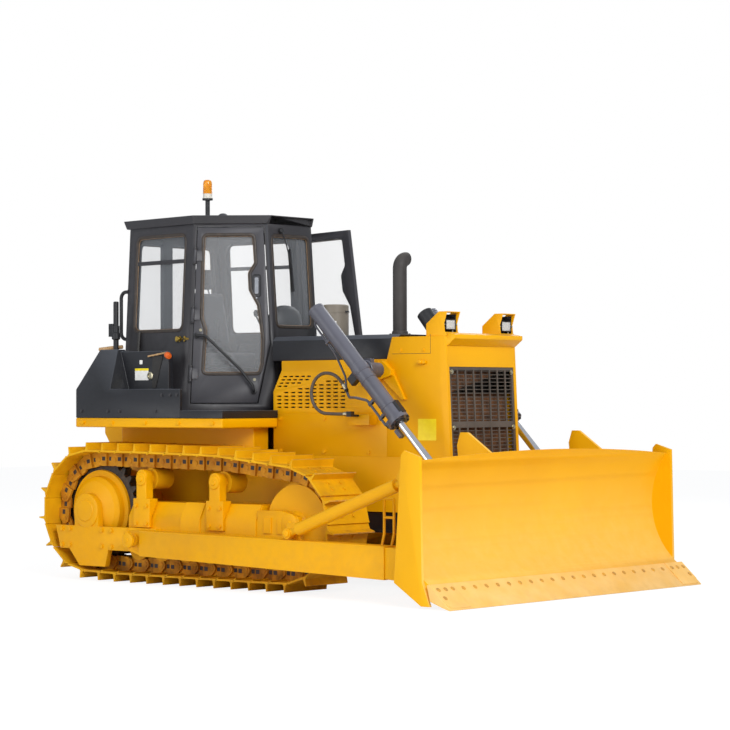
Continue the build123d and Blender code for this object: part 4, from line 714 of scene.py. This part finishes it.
def doorTrim(side, word):
    wall = wallSeat("door")
    rubber, metal = bmesh.new(), bmesh.new()
    addGasket(rubber, "door", 45)
    # paddle handle in its dish, with its lock below
    addRing(metal, rounded(572, 980, 632, 1162, 16), ((-4, 0), (-4, 4), (4, 5), (8, 1), (8, 0)), wall)
    prism(metal, rounded(586, 1000, 618, 1142, 12), 0, 16, wall, 1)
    turned(metal, [(9, 0), (9, 6), (6, 9), (0, 9)], moved(wall, 602, 965), 16, 1)
    # grab bar with its feet on the door
    grip = ((86, 643, 0), (86, 643, 46), (167, 636, 52), (468, 344, 52), (573, 206, 52), (579, 160, 46),
        (579, 160, 0))
    bar(metal, grip, 34, 12.5, wall, 14, 2)
    for x, y, z in (grip[0], grip[-1]):
        turned(metal, [(26, 0), (26, 5), (22, 7), (0, 7)], moved(wall, x, y), 18, 2)
    for x, y in ((584, 262), (120, 690)):
        bolt(metal, moved(wall, x, y), 17, 9, 3)
    if side > 0:
        openLeft(rubber)
        openLeft(metal)
    # the gasket's brown lip is a painted highlight
    piece("doorGasket" + word.title(), rubber, ["sealRubber", "lipRubber"], word + "_door",
        smooth=60)
    piece("doorFittings" + word.title(), metal, ["blackPlastic", "hardChrome", "blackSteel", "zincPlate"],
        word + "_door", 0.8)


for side, word in bothSides:
    doorTrim(side, word)

# latch that holds the opened door, with its short chain, on both side walls
trim = bmesh.new()
wall = wallSeat("side")
prism(trim, ((738, 590), (872, 590), (872, 606), (858, 640), (752, 640), (738, 626)), 0, 9, wall)
prism(trim, box(758, 600, 800, 632), 9, 34, wall, 1)
turned(trim, [(15, 0), (15, 40), (11, 44), (0, 44)], moved(wall, 812, 616), 18, 1)
for x in (750, 795, 860):
    for y in (600, 630):
        bolt(trim, moved(wall, x, y, 9), 13, 8, 1)
for k in range(3):  # each link of the chain lies across the one before
    centre = Vector((886 + 19 * k, 618 - 3 * k, 16 + 6 * k))
    link = [centre + Vector((spot.x * 1.25 * 11, spot.y * 8 * (k % 2 == 0), spot.y * 8 * (k % 2 == 1)))
        for spot in circle(1, 12)]
    bar(trim, link + link[:1], 0, 2.6, wall, 8, 1)
# bolts below the windows, and the strap that hangs from the sill
for x in (60, 330, 600):
    bolt(trim, moved(wall, x, 80), 17, 8)
bar(trim, ((205, 690, 8), (208, 600, 14), (212, 520, 18), (232, 420, 30), (262, 350, 36), (256, 322, 36)), 60,
    15, wall, 10, 2)
mirror(trim)
piece("sideWallFittings", trim, ["blackSteel", "brassPlate", "nitrileRubber"], bevel=0.8)

# wiper on the front window
wall = wallSeat("front")
wiper = bmesh.new()
turned(wiper, [(24, 0), (24, 26), (18, 34), (0, 34)], moved(wall, 150, 1555), 18)
bar(wiper, ((150, 1555, 28), (190, 1420, 34), (250, 1250, 26), (262, 1215, 20)), 40, 6, wall, 8)
prism(wiper, ((246, 1400), (258, 1402), (278, 1030), (264, 1030)), 8, 20, wall)
prism(wiper, ((250, 1398), (254, 1398), (273, 1032), (268, 1032)), -14, 8, wall, 1)
piece("frontWiper", wiper, ["blackSteel", "nitrileRubber"], bevel=0.8)

# breather on the roof, and the post that parts the rear window, inside its glass
roofTrim = bmesh.new()
turned(roofTrim, [(46, 3149), (46, 3162), (40, 3180), (24, 3192), (0, 3196)], moved(level, 760, -250))
prism(roofTrim, box(758, 600, 868, 1520), -70, -24, wallSeat("rear"))
piece("roofFittings", roofTrim, ["charcoalCoat"], bevel=0.8)
print("cab trimmed")

# Seat: cushions with size along x, y, z, middle as station, y, z, and lean back in degrees
stuffing = {
    "cushions": (("seatCushion", (480, 480, 110), (585, 0, 1905), 0),
        ("seatBack", (110, 450, 560), (322, 0, 2245), -11),
        ("headRest", (80, 240, 180), (250, 0, 2640), -11)),
    "voxel": 6, "pressure": 4, "frames": 20, "swell": 14, "fill": 0.75,  # voxel and swell in millimetres
}


# Applies an object's modifiers to its mesh.
def settle(made):
    bpy.context.view_layer.update()
    graph = bpy.context.evaluated_depsgraph_get()
    fixed = bpy.data.meshes.new_from_object(made.evaluated_get(graph))
    made.modifiers.clear()
    made.data = fixed


# Stuffs a cushion: a rounded block filled by a short cloth simulation, its swelling capped.
def cushion(name, size, middle, lean):
    shape = bmesh.new()
    bmesh.ops.create_cube(shape, size=1.0)
    for vertex in shape.verts:
        vertex.co = Vector([c * s * mm for c, s in zip(vertex.co, size)])
    bmesh.ops.bevel(shape, geom=shape.edges[:], offset=min(size) * 0.32 * mm, segments=5, profile=0.6,
        affect="EDGES")
    made = stood(name, fill(bpy.data.meshes.new(name), shape))
    made.data.materials.append(look["seatCloth"])
    configure(made, location=place(*middle), rotation_euler=(0, math.radians(lean), 0))
    configure(made.modifiers.new("voxels", "REMESH"), mode="VOXEL", voxel_size=stuffing["voxel"] * mm)
    settle(made)
    rest = [v.co.copy() for v in made.data.vertices]
    cloth = made.modifiers.new("cloth", "CLOTH")
    configure(cloth.settings, quality=6, use_pressure=True, uniform_pressure_force=stuffing["pressure"])
    cloth.settings.effector_weights.gravity = 0
    configure(cloth.point_cache, frame_start=1, frame_end=stuffing["frames"])
    for number in range(1, stuffing["frames"] + 1):
        bpy.context.scene.frame_set(number)
    settle(made)
    bpy.context.scene.frame_set(1)
    most = stuffing["swell"] * mm
    for vertex, before in zip(made.data.vertices, rest):
        move = vertex.co - before
        if move.length > most:
            vertex.co = before + move.normalized() * most
    configure(made.modifiers.new("finer", "SUBSURF"), levels=1, render_levels=1)
    settle(made)
    made.data.shade_smooth()
    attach(made, "machine")
    return made


seatParts = [cushion(*spec) for spec in stuffing["cushions"]]
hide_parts("seat")

# bellows under the seat, its pan, the head rest's two rods and the arm rests with their levers
base = bmesh.new()
bellows = [(190, 1480), (205, 1500)]
for fold in range(6):
    bellows += [(176, 1525 + fold * 48), (205, 1549 + fold * 48)]
bellows += [(190, 1835), (150, 1850)]
turned(base, bellows, moved(level, 560, 0), 4)
prism(base, rounded(340, -250, 830, 250, 50), 1840, 1862, level)
for y in (-60, 60):
    bar(base, ((300, y, 2480), (272, y, 2560), (258, y, 2600)), 20, 7, level, 10, 1)
for y in (-290, 290):
    prism(base, rounded(420, y - 40, 760, y + 40, 30), 2060, 2100, level)
    bar(base, ((440, y, 2062), (400, y * 0.9, 1900), (400, y * 0.8, 1860)), 40, 16, level, 10)
    bar(base, ((730, y, 2098), (738, y, 2150), (734, y, 2190)), 20, 10, level, 10)
    turned(base, [(14, 2180), (24, 2200), (27, 2235), (20, 2262), (0, 2270)], moved(level, 734, y), 16)
piece("seatBase", base, ["blackPlastic", "hardChrome"], bevel=1.5)

# levers with their knobs, cowl, gauges and pedals at the console
desk = bmesh.new()
for x, y, top in ((1120, -150, 2330), (1120, -60, 2300), (1150, 160, 2280)):
    bar(desk, ((x + 20, y, 2040), (x, y, 2200), (x - 60, y, top - 40)), 50, 8, level, 10)
    turned(desk, [(8, 0), (20, 14), (24, 40), (14, 60), (0, 64)], moved(level, x - 60, y, top - 50), 16)
turned(desk, [(250, 1960), (262, 2040), (262, 2120), (246, 2190), (205, 2240), (140, 2272), (60, 2286),
        (0, 2288)], moved(level, 1205, 60, 96) @ Matrix.Diagonal((0.42, 0.75, 1.0, 1.0)), 36)
dash = facing(1140, 0, 2040, (-0.6, 0, 0.8), (0, 1, 0))
for k in range(5):
    turned(desk, [(34, -10), (34, 6), (28, 9), (28, 4), (0, 4)], moved(dash, -160 + 80 * k, 20), 22, 1)
for y in (-110, 110):
    pedal = facing(1090, y, 1530, (-0.5, 0, 0.86), (0, 1, 0))
    prism(desk, rounded(-45, -60, 45, 60, 12), 0, 10, pedal)
    for k in range(5):
        prism(desk, box(-38, -46 + 22 * k, 38, -38 + 22 * k), 10, 14, pedal)
piece("controls", desk, ["blackPlastic", "paleVinyl"], bevel=0.8)
print("cab fitted out")

# Lift cylinders: pipes along the barrel with their clamps, head bolts, port block and rings
cylinder = {
    "yoke": (2770, 1800), "y": 745, "pin": (3840, 700), "barrelRadius": 68, "behind": 699, "ahead": 588,
    # along the barrel's underside: outward, under and along from the yoke's middle
    "pipe": ((-105, 289, -59), (-95, 307, 15), (-10, 205, 116), (0, 126, 225), (0, 126, 500), (0, 106, 540)),
    "tailPipe": ((-103, 280, -62), (-70, 200, -120), (0, 104, -290), (0, 98, -600), (0, 64, -645)),
}


def makeCylinder(side, word):
    (x, z), (pinX, pinZ), r = cylinder["yoke"], cylinder["pin"], cylinder["barrelRadius"]
    tail, head = -cylinder["behind"], cylinder["ahead"]
    at = facing(x, -cylinder["y"], z, (pinX - x, 0, pinZ - z), outside)
    shape = bmesh.new()
    # tail cap and four bands
    bands = [((-1, a - 12), (4, a - 9), (4, a + 9), (-1, a + 12)) for a in (-34, 34, 120, 420)]
    for band in (((-4, tail - 0.5), (2.5, tail + 2), (2.5, tail + 26), (-1, tail + 30)), *bands):
        addRing(shape, circle(r, 40), band, at)
    for spot in circle(77, 8, head, 0.5):
        bolt(shape, moved(at, *spot), 15, 10, 1)
    # bearing housing round the trunnion with its bolts, and the block where the pipes part
    bearing = facing(x, -690, z, (0, 1, 0))
    turned(shape, [(60, -6), (72, -6), (78, 0), (78, 58), (72, 66), (60, 66)], bearing, 32)
    prism(shape, rounded(-52, -92, 52, 92, 14), 12, 52, bearing)
    for along in (-34, 34):
        for rise in (92, -92):
            spot = bearing @ Vector((along, rise, 32))
            bolt(shape, seat(spot, (0, 1, 0), (0, 0, rise)), 20, 12, 1)
    prism(shape, rounded(-30, 60, 30, 148, 14), -34, 40, at, 1)
    # wiper seal round the rod
    turned(shape, [(36, head - 2), (50, head), (50, head + 8), (44, head + 12), (36, head + 12)], at, 32, 2)
    # port block on the barrel near its head
    prism(shape, ((-30, r - 6), (-30, r + 30), (-22, r + 38), (22, r + 38), (30, r + 30), (30, r - 6)), 505,
        575, at)
    # rigid pipes from the hose's end along the barrel, with nuts and clamps
    pipe = [Vector(point) for point in cylinder["pipe"]]
    bar(shape, pipe, 60, 11, at, 14)
    bar(shape, cylinder["tailPipe"], 50, 9, at)
    prism(shape, rounded(-26, -690, 26, -610, 8), 58, 84, at @ Matrix.Rotation(math.radians(-90), 4, "X"))
    prism(shape, ((-15, r - 4), (-15, 112), (-8, 118), (8, 118), (15, 112), (15, r - 4)), -420, -400, at)
    for start, onward in ((pipe[0], pipe[1]), (pipe[-1], pipe[-2])):
        turn = Vector((0, 0, 1)).rotation_difference((onward - start).normalized()).to_matrix().to_4x4()
        turned(shape, [(19, -3), (19, 12), (14, 14), (14, 26), (11, 28)], moved(at, *start) @ turn, 6, 1)
    prism(shape, rounded(430, -24, 560, 24, 10), r - 4, r + 26,
        at @ Matrix(((0, 1, 0, 0), (0, 0, -1, 0), (1, 0, 0, 0), (0, 0, 0, 1))), 1)
    for along in (270, 430):
        prism(shape, ((-15, r - 4), (-17, 112), (-15, 134), (-8, 141), (8, 141), (15, 134), (17, 112),
                (15, r - 4)), along - 11, along + 11, at)
        bolt(shape, moved(at, 0, 100, along + 11), 13, 8, 1)
    if side > 0:
        flip(shape, shape.verts, shape.faces)
    piece(word + "CylinderFittings", shape, ["cylinderCoat", "blackSteel", "nitrileRubber"],
        "lift_cylinder_" + word, 1.0)


for side, word in bothSides:
    makeCylinder(side, word)

# Bolts of the machine, all on the right side first: slot, size across, stations, y, heights
boltGroups = (
    (1, 24, (-86, 243, 389, 828), -1150, (1464,)), (0, 20, (2957, 3194), -468, (1958,)),
    (0, 26, (1640, 2130, 2620), -468, (1125, 1400)), (0, 30, (2705, 2760), -520, (1730, 1850)),
    (0, 34, (-300, -200, 200, 320, 520, 700), -1180, (300, 440)),
    (0, 30, (590, 716, 1451, 1577), -1150, (510, 660)), (0, 28, (-60, 300, 700, 1100, 1500), -1150, (1364,)),
    (1, 22, (900, 1000, 1080), -1150, (1600,)),
)


def boltOn(shape, station, y, z, across, slot=0):
    bolt(shape, facing(station, y, z), across, across * 0.42, slot)


bolts = bmesh.new()
for slot, across, stations, y, heights in boltGroups:
    for station in stations:
        for z in heights:
            boltOn(bolts, station, y, z, across, slot)
# round covers: station, y, height, radius of the bolt circle, number, size across
for station, y, z, radius, count, across in ((0, -1052, 602, 268, 16, 22), (0, -1174, 602, 118, 8, 26),
        (2330, -1120, 547, 40, 4, 22)):
    for spot in circle(radius, count, 0, 0.5):
        boltOn(bolts, station + spot.x, y, z + spot.y, across)
mirror(bolts)
piece("machineBolts", bolts, ["yellowEnamel", "charcoalCoat"])

# round caps with turned steps: final drive cap, carrier roller ends, idler ends, track roller ends
caps = bmesh.new()
carrierCap = ((58, -2), (58, 6), (50, 12), (26, 12), (22, 20), (0, 20))
for station, y, z, profile in (
        (0, -1174, 602, ((148, -2), (148, 6), (136, 12), (96, 12), (90, 20), (30, 24), (0, 24))),
        (653, -1150, 887, carrierCap), (1514, -1150, 872, carrierCap),
        (2330, -1120, 547, ((92, -2), (92, 8), (80, 14), (34, 14), (28, 24), (0, 24)))):
    turned(caps, profile, facing(station, y, z), 36)
for station in range(520, 1931, 282):
    at = facing(station, -1120, 306)
    turned(caps, [(46, -4), (46, 10), (38, 16), (16, 16), (12, 26), (0, 26)], at)
    for x in (-62, 62):
        bolt(caps, moved(at, x, 14), 24, 11)
mirror(caps)
piece("runningGearCaps", caps, ["yellowEnamel"], bevel=1.5)

# bands of the spring housing and the guide blocks of the idler
housing = bmesh.new()
band = ((1120, -430), (1127, -430), (1127, -566), (1055, -697), (825, -697), (825, -690), (1052, -690),
    (1120, -562))
for low, high in ((1095, 1322), (1614, 1960)):
    prism(housing, band, 0, high - low, facing(low, 0, 0, (1, 0, 0), outside))
for x in (2090, 2240, 2400):
    prism(housing, box(x - 40, 470, x + 40, 600), 1118, 1131, sideView)
mirror(housing)
piece("housingBands", housing, ["yellowEnamel"], bevel=2)
print("running gear fitted")

# Guard: grille bolts, joint line and lifting lug; the core's folded fins just behind the grille
guard, fins = bmesh.new(), bmesh.new()
lean = math.atan2(69, 1428)
for y in (-395, 395):
    for z in (905, 1330, 1780):
        x = 3487 - (z - 640) * math.tan(lean) - 5
        bolt(guard, facing(x, y, z, (math.cos(lean), 0, math.sin(lean)), (0, 1, 0)), 26, 12, 1)
prism(guard, ((2868, 1928), (3271, 1928), (3271, 2085), (3268, 2085), (3268, 1931), (2868, 1931)), 467.8,
    468.8, sideView, 2)
lug = facing(3181, -468, 1860)
prism(guard, rounded(-48, -13, 48, 13, 10), 0, 22, lug)
turned(guard, [(16, 0), (16, 34), (11, 40), (0, 40)], lug, 18)
folds = [(-402 + 12 * k, 72 + 9 * (k % 2)) for k in range(68)]
prism(fins, folds + [(402, 92), (-402, 92)], 40, 1185,
    facing(3487, 0, 640, (-math.sin(lean), 0, math.cos(lean)), (0, 1, 0)))
piece("coreFins", fins, ["coreFins"])
piece("guardFittings", guard, ["yellowEnamel", "zincPlate", "blackSteel"], bevel=0.8)

# labels without any print, on the guard and in the recess beside the cab
labels = bmesh.new()
prism(labels, rounded(3138, 1228, 3327, 1402, 8), 468, 468.8, sideView, 1)
for corners, slot in (((344, 1730, 510, 1812), 0), ((344, 1812, 510, 1832), 1), ((567, 1816, 649, 1857), 1),
        ((400, 1868, 436, 1904), 0), ((560, 1690, 600, 1728), 0)):
    prism(labels, rounded(*corners, 6), 920, 920.8, sideView, slot)
piece("blankLabels", labels, ["paleVinyl", "yellowVinyl"])
print("guard fitted")


# Headlamps: rounded case, rim, reflector with its ribs, lens, screws and the plates round the case, the black one
# behind it painted shade
def makeLamp(side, word, front=3430, z=2160):
    case, glass = bmesh.new(), bmesh.new()
    y = 369 * side
    face = facing(front - 30, y, z, (1, 0, 0), (0, 1, 0))
    rim = rounded(-64, -44, 64, 44, 12)
    for grow, rise, low, high, shape, slot in ((0.96, 0.96, -90, -22, case, 0), (0.86, 0.8, -23, -21, case, 1),
            (0.9, 0.85, -6, -1, glass, 0)):
        prism(shape, [(p.x * grow, p.y * rise) for p in rim], low, high, face, slot)
    addRing(case, rim, ((-8, -24), (-9, 0), (-4, 3), (0, 0), (0, -24)), face)
    for k in range(7):
        prism(case, box(-54 + 16 * k, -34, -52 + 16 * k, 34), -22, -10, face, 1)
    turned(case, [(20, -22), (16, -10), (6, -6), (0, -6)], face, 20, 1)
    # a black plate behind the case: painted shade where the yellow behind the lamp lies in shadow
    prism(case, box(-73, -58, 73, 84), -72, -66, face)
    prism(case, box(69, -58, 73, 84), -68, -4, face)
    for px in (-1, 1):
        turned(case, [(6, 0), (6, 16), (9, 17), (9, 22), (0, 23)],
            facing(front - 38, y + 62 * px, z, (0, px, 0)), 12, 2)
        turned(case, [(7, 0), (7, 22), (0, 24)],
            facing(front - 60 + 13.2 * px, y + 44 * px, z - 60, upward), 10, 2)
    piece("lampCase" + word.title(), case, ["blackPlastic", "lampReflector", "zincPlate"],
        bevel=1, standsFor="headlamps" if side < 0 else None)
    piece("lampLens" + word.title(), glass, ["lampGlass"], bevel=1)


for side, word in bothSides:
    makeLamp(side, word)

# Beacon: clear foot and ribbed amber dome with a lamp inside
lens, inside = bmesh.new(), bmesh.new()
post = facing(620, -300, 3330, upward)
profile = []
for k in range(9):
    profile += [(40.5 - k * 0.3, 10 + k * 13), (43 - k * 0.35, 16 + k * 13)]
profile += [(38, 140), (34, 154), (24, 162), (0, 165)]
turned(lens, [p for p in profile if p[1] > 40], post, 40)
turned(inside, [(43.5, 0), (43.5, 8), (40, 12), (40, 44), (36, 47), (0, 47)], post, 40)
turned(inside, [(12, 46), (12, 70), (16, 80), (16, 110), (8, 120), (0, 120)], post, 20, 1)
piece("beaconDome", lens, ["amberLens"], standsFor="beacon")
piece("beaconFoot", inside, ["paleFoot", "lampReflector"])
print("lamps fitted")

# Blade: plough bolts and end bits of the cutting edge; on its seat y runs up the slope
edge = bmesh.new()
edgeSeat = facing(4239, 0, 185, (181, 0, 202), (0, 1, 0))
for y in range(-1340, 1341, 141):
    turned(edge, [(20, 0), (20, 2.5), (14, 5), (0, 5)], moved(edgeSeat, y, -62), 20)
for side, word in bothSides:
    bit = ((1430, -4), (1690, -4), (1690, -200), (1664, -246), (1612, -254), (1430, -254))
    prism(edge, [(side * y, z) for y, z in bit], 0, 5, edgeSeat, 1)
    for y, z in ((1475, -62), (1560, -62), (1645, -62), (1645, -150)):
        turned(edge, [(20, 5), (20, 7.5), (14, 10), (0, 10)], moved(edgeSeat, side * y, z), 20)
piece("edgeBolts", edge, ["groundSteel", "palePaint"], "blade", 1.2)

# caps on the pins of arms, cylinder eyes and braces, bolts of the arms' rear caps
bladeBits = bmesh.new()
for station, y, z, r in ((792, -1445, 382, 62), (3840, -705, 700, 34), (2600, -1465, 500, 30),
        (3872, -1536, 943, 28)):
    turned(bladeBits, [(r, -14), (r, 8), (r * 0.8, 13), (r * 0.3, 13), (r * 0.25, 20), (0, 20)],
        facing(station, y, z), 28)
for station in (718, 866):
    for z in (330, 434):
        boltOn(bladeBits, station, -1375, z, 32)
mirror(bladeBits)
# step behind the right end of the blade
for x in (3478, 3576):
    bar(bladeBits, ((x, -1330, 430), (x, -1300, 520), (x, -1300, 790)), 30, 11, level)
for z in (648, 790):
    bar(bladeBits, ((3478, -1300, z), (3527, -1300, z), (3576, -1300, z)), 0, 11, level)
piece("bladeFittings", bladeBits, ["yellowEnamel"], "blade", bevel=1.2)
print("blade fitted")

# Hood: exhaust flange with its bolts, band and label of the air cleaner
hoodBits = bmesh.new()
flange, can = facing(2564, 0, 2094, upward), facing(1764, 100, 2094, upward)
turned(hoodBits, [(92, -2), (92, 8), (70, 12), (66, 34), (60, 38)], flange, 36)
for spot in circle(80, 4, 9, 0.5):
    bolt(hoodBits, moved(flange, *spot), 15, 8)
turned(hoodBits, [(118, -1), (118, 10), (112, 14)], can, 40, 1)
prism(hoodBits, ((112, -12), (142, -9), (142, 9), (112, 12)), 214, 226, can, 1)
arc = [math.radians(-100 + 9 * step) for step in range(7)]
label = [(radius * math.cos(a), radius * math.sin(a)) for radius, turns in ((113.6, arc), (112, arc[::-1]))
    for a in turns]
prism(hoodBits, label, 96, 138, can, 2)
piece("hoodFittings", hoodBits, ["heatPaint", "blackSteel", "paleVinyl"], bevel=1)

# Rear: tank cap, the post and hose end behind the cab on the right, feet of the handrails
rearBits = bmesh.new()
turned(rearBits, [(70, 0), (70, 18), (60, 26), (60, 40), (52, 46), (0, 46)], facing(-290, 0, 1780, upward), 32)
turned(rearBits, [(24, 1975), (24, 2090), (38, 2100), (38, 2150), (30, 2160), (30, 2215), (24, 2222),
        (24, 2425), (19, 2432), (0, 2432)], facing(-122, -700, 0, upward), 20)
prism(rearBits, rounded(-186, -734, -128, -670, 8), 2120, 2235, level)
bar(rearBits, ((-330, -700, 2010), (-180, -690, 2022), (-90, -650, 2030)), 40, 17, level, 14, 1)
for y in (-570, 570):
    for z in (2100, 2520):
        turned(rearBits, [(30, 0), (30, 6), (18, 9), (17, 12)], facing(-80, y, z, (-1, 0, 0), (0, 1, 0)), 20)
piece("rearFittings", rearBits, ["blackSteel", "tanHose"], bevel=1)

# tools in the recess over the tank: pale rod, orange knob, strap, filler neck
recess = bmesh.new()
bar(recess, ((520, -935, 1935), (640, -940, 1950), (730, -938, 1962)), 30, 8, level, 10)
turned(recess, [(16, 0), (26, 10), (30, 40), (22, 62), (0, 68)], facing(742, -935, 1950, (0.8, -0.3, -0.3)), 20, 1)
prism(recess, roundedLoop(((560, 1660), (600, 1660), (690, 1940), (560, 1940)), 16), 920, 926, sideView, 2)
turned(recess, [(34, 0), (34, 8), (22, 12), (22, 4), (0, 4)], facing(535, -920, 1768), 24, 3)
piece("recessFittings", recess, ["tanHose", "orangeKnob", "nitrileRubber", "zincPlate"],
    bevel=1)
print("small fittings placed")

# Floor, world and lights; lamps: place in metres, size across, power in watts
studio = {
    "floorSize": 60, "floorColour": "#F4F4F4", "floorWhite": 0.8, "floorGlow": 1.1,
    "skyColour": "#E9EEF6", "skyStrength": 0.6, "aim": (0, 0, 1.2),
    "lamps": (("keySoftbox", (13, -8, 9), 8, 1850), ("fillSoftbox", (-4, -15, 4), 9, 480),
        ("backSoftbox", (-4, 12, 10), 9, 500)),
}


# 1 for the camera's rays and those that pass through glass
def eyeRays(tree):
    seen = addNode(tree, "LightPath").outputs
    return combine(seen["Is Camera Ray"], seen["Is Transmission Ray"], "MAXIMUM")


# A pale matt plaster floor that keeps the machine's shadow and shows nearly white
def palePlaster(spec):
    tree, shader, where = newMaterial("palePlaster")
    finish(tree, shader, {"Base Color": linear(spec["floorColour"]), "Roughness": 0.9})
    glow = addNode(tree, "Emission", {"Color": (1, 1, 1, 1), "Strength": spec["floorGlow"]})
    mixed = addNode(tree, "MixShader", {0: combine(eyeRays(tree), spec["floorWhite"]),
            1: tree.nodes["Principled BSDF"].outputs[0], 2: glow.outputs[0]})
    finish(tree, tree.nodes["Material Output"].inputs, {"Surface": mixed.outputs[0]})


half = studio["floorSize"] / 2
floorMesh = bpy.data.meshes.new("floor")
floorMesh.from_pydata([(x, y, -0.001) for x, y in box(-half, -half, half, half)], [], [(0, 1, 2, 3)])
palePlaster(studio)
floorMesh.materials.append(look["palePlaster"])
stood("floor", floorMesh)

world = bpy.data.worlds.new("studio")
bpy.context.scene.world = world
world.use_nodes = True
sky = world.node_tree
sky.nodes.clear()
plain = addNode(sky, "Background", {"Color": linear(studio["skyColour"]), "Strength": studio["skyStrength"]})
white = addNode(sky, "Background", {"Color": (1, 1, 1, 1), "Strength": 1.0})
mixed = addNode(sky, "MixShader", {0: eyeRays(sky), 1: plain.outputs[0], 2: white.outputs[0]})
addNode(sky, "OutputWorld", {"Surface": mixed.outputs[0]})

for name, stand, across, power in studio["lamps"]:
    lamp = stood(name, configure(bpy.data.lights.new(name, "AREA"), shape="DISK", size=across, energy=power))
    aim = (Vector(studio["aim"]) - Vector(stand)).to_track_quat("-Z", "Y")
    configure(lamp, location=stand, rotation_mode="QUATERNION", rotation_quaternion=aim)
print("studio lit")
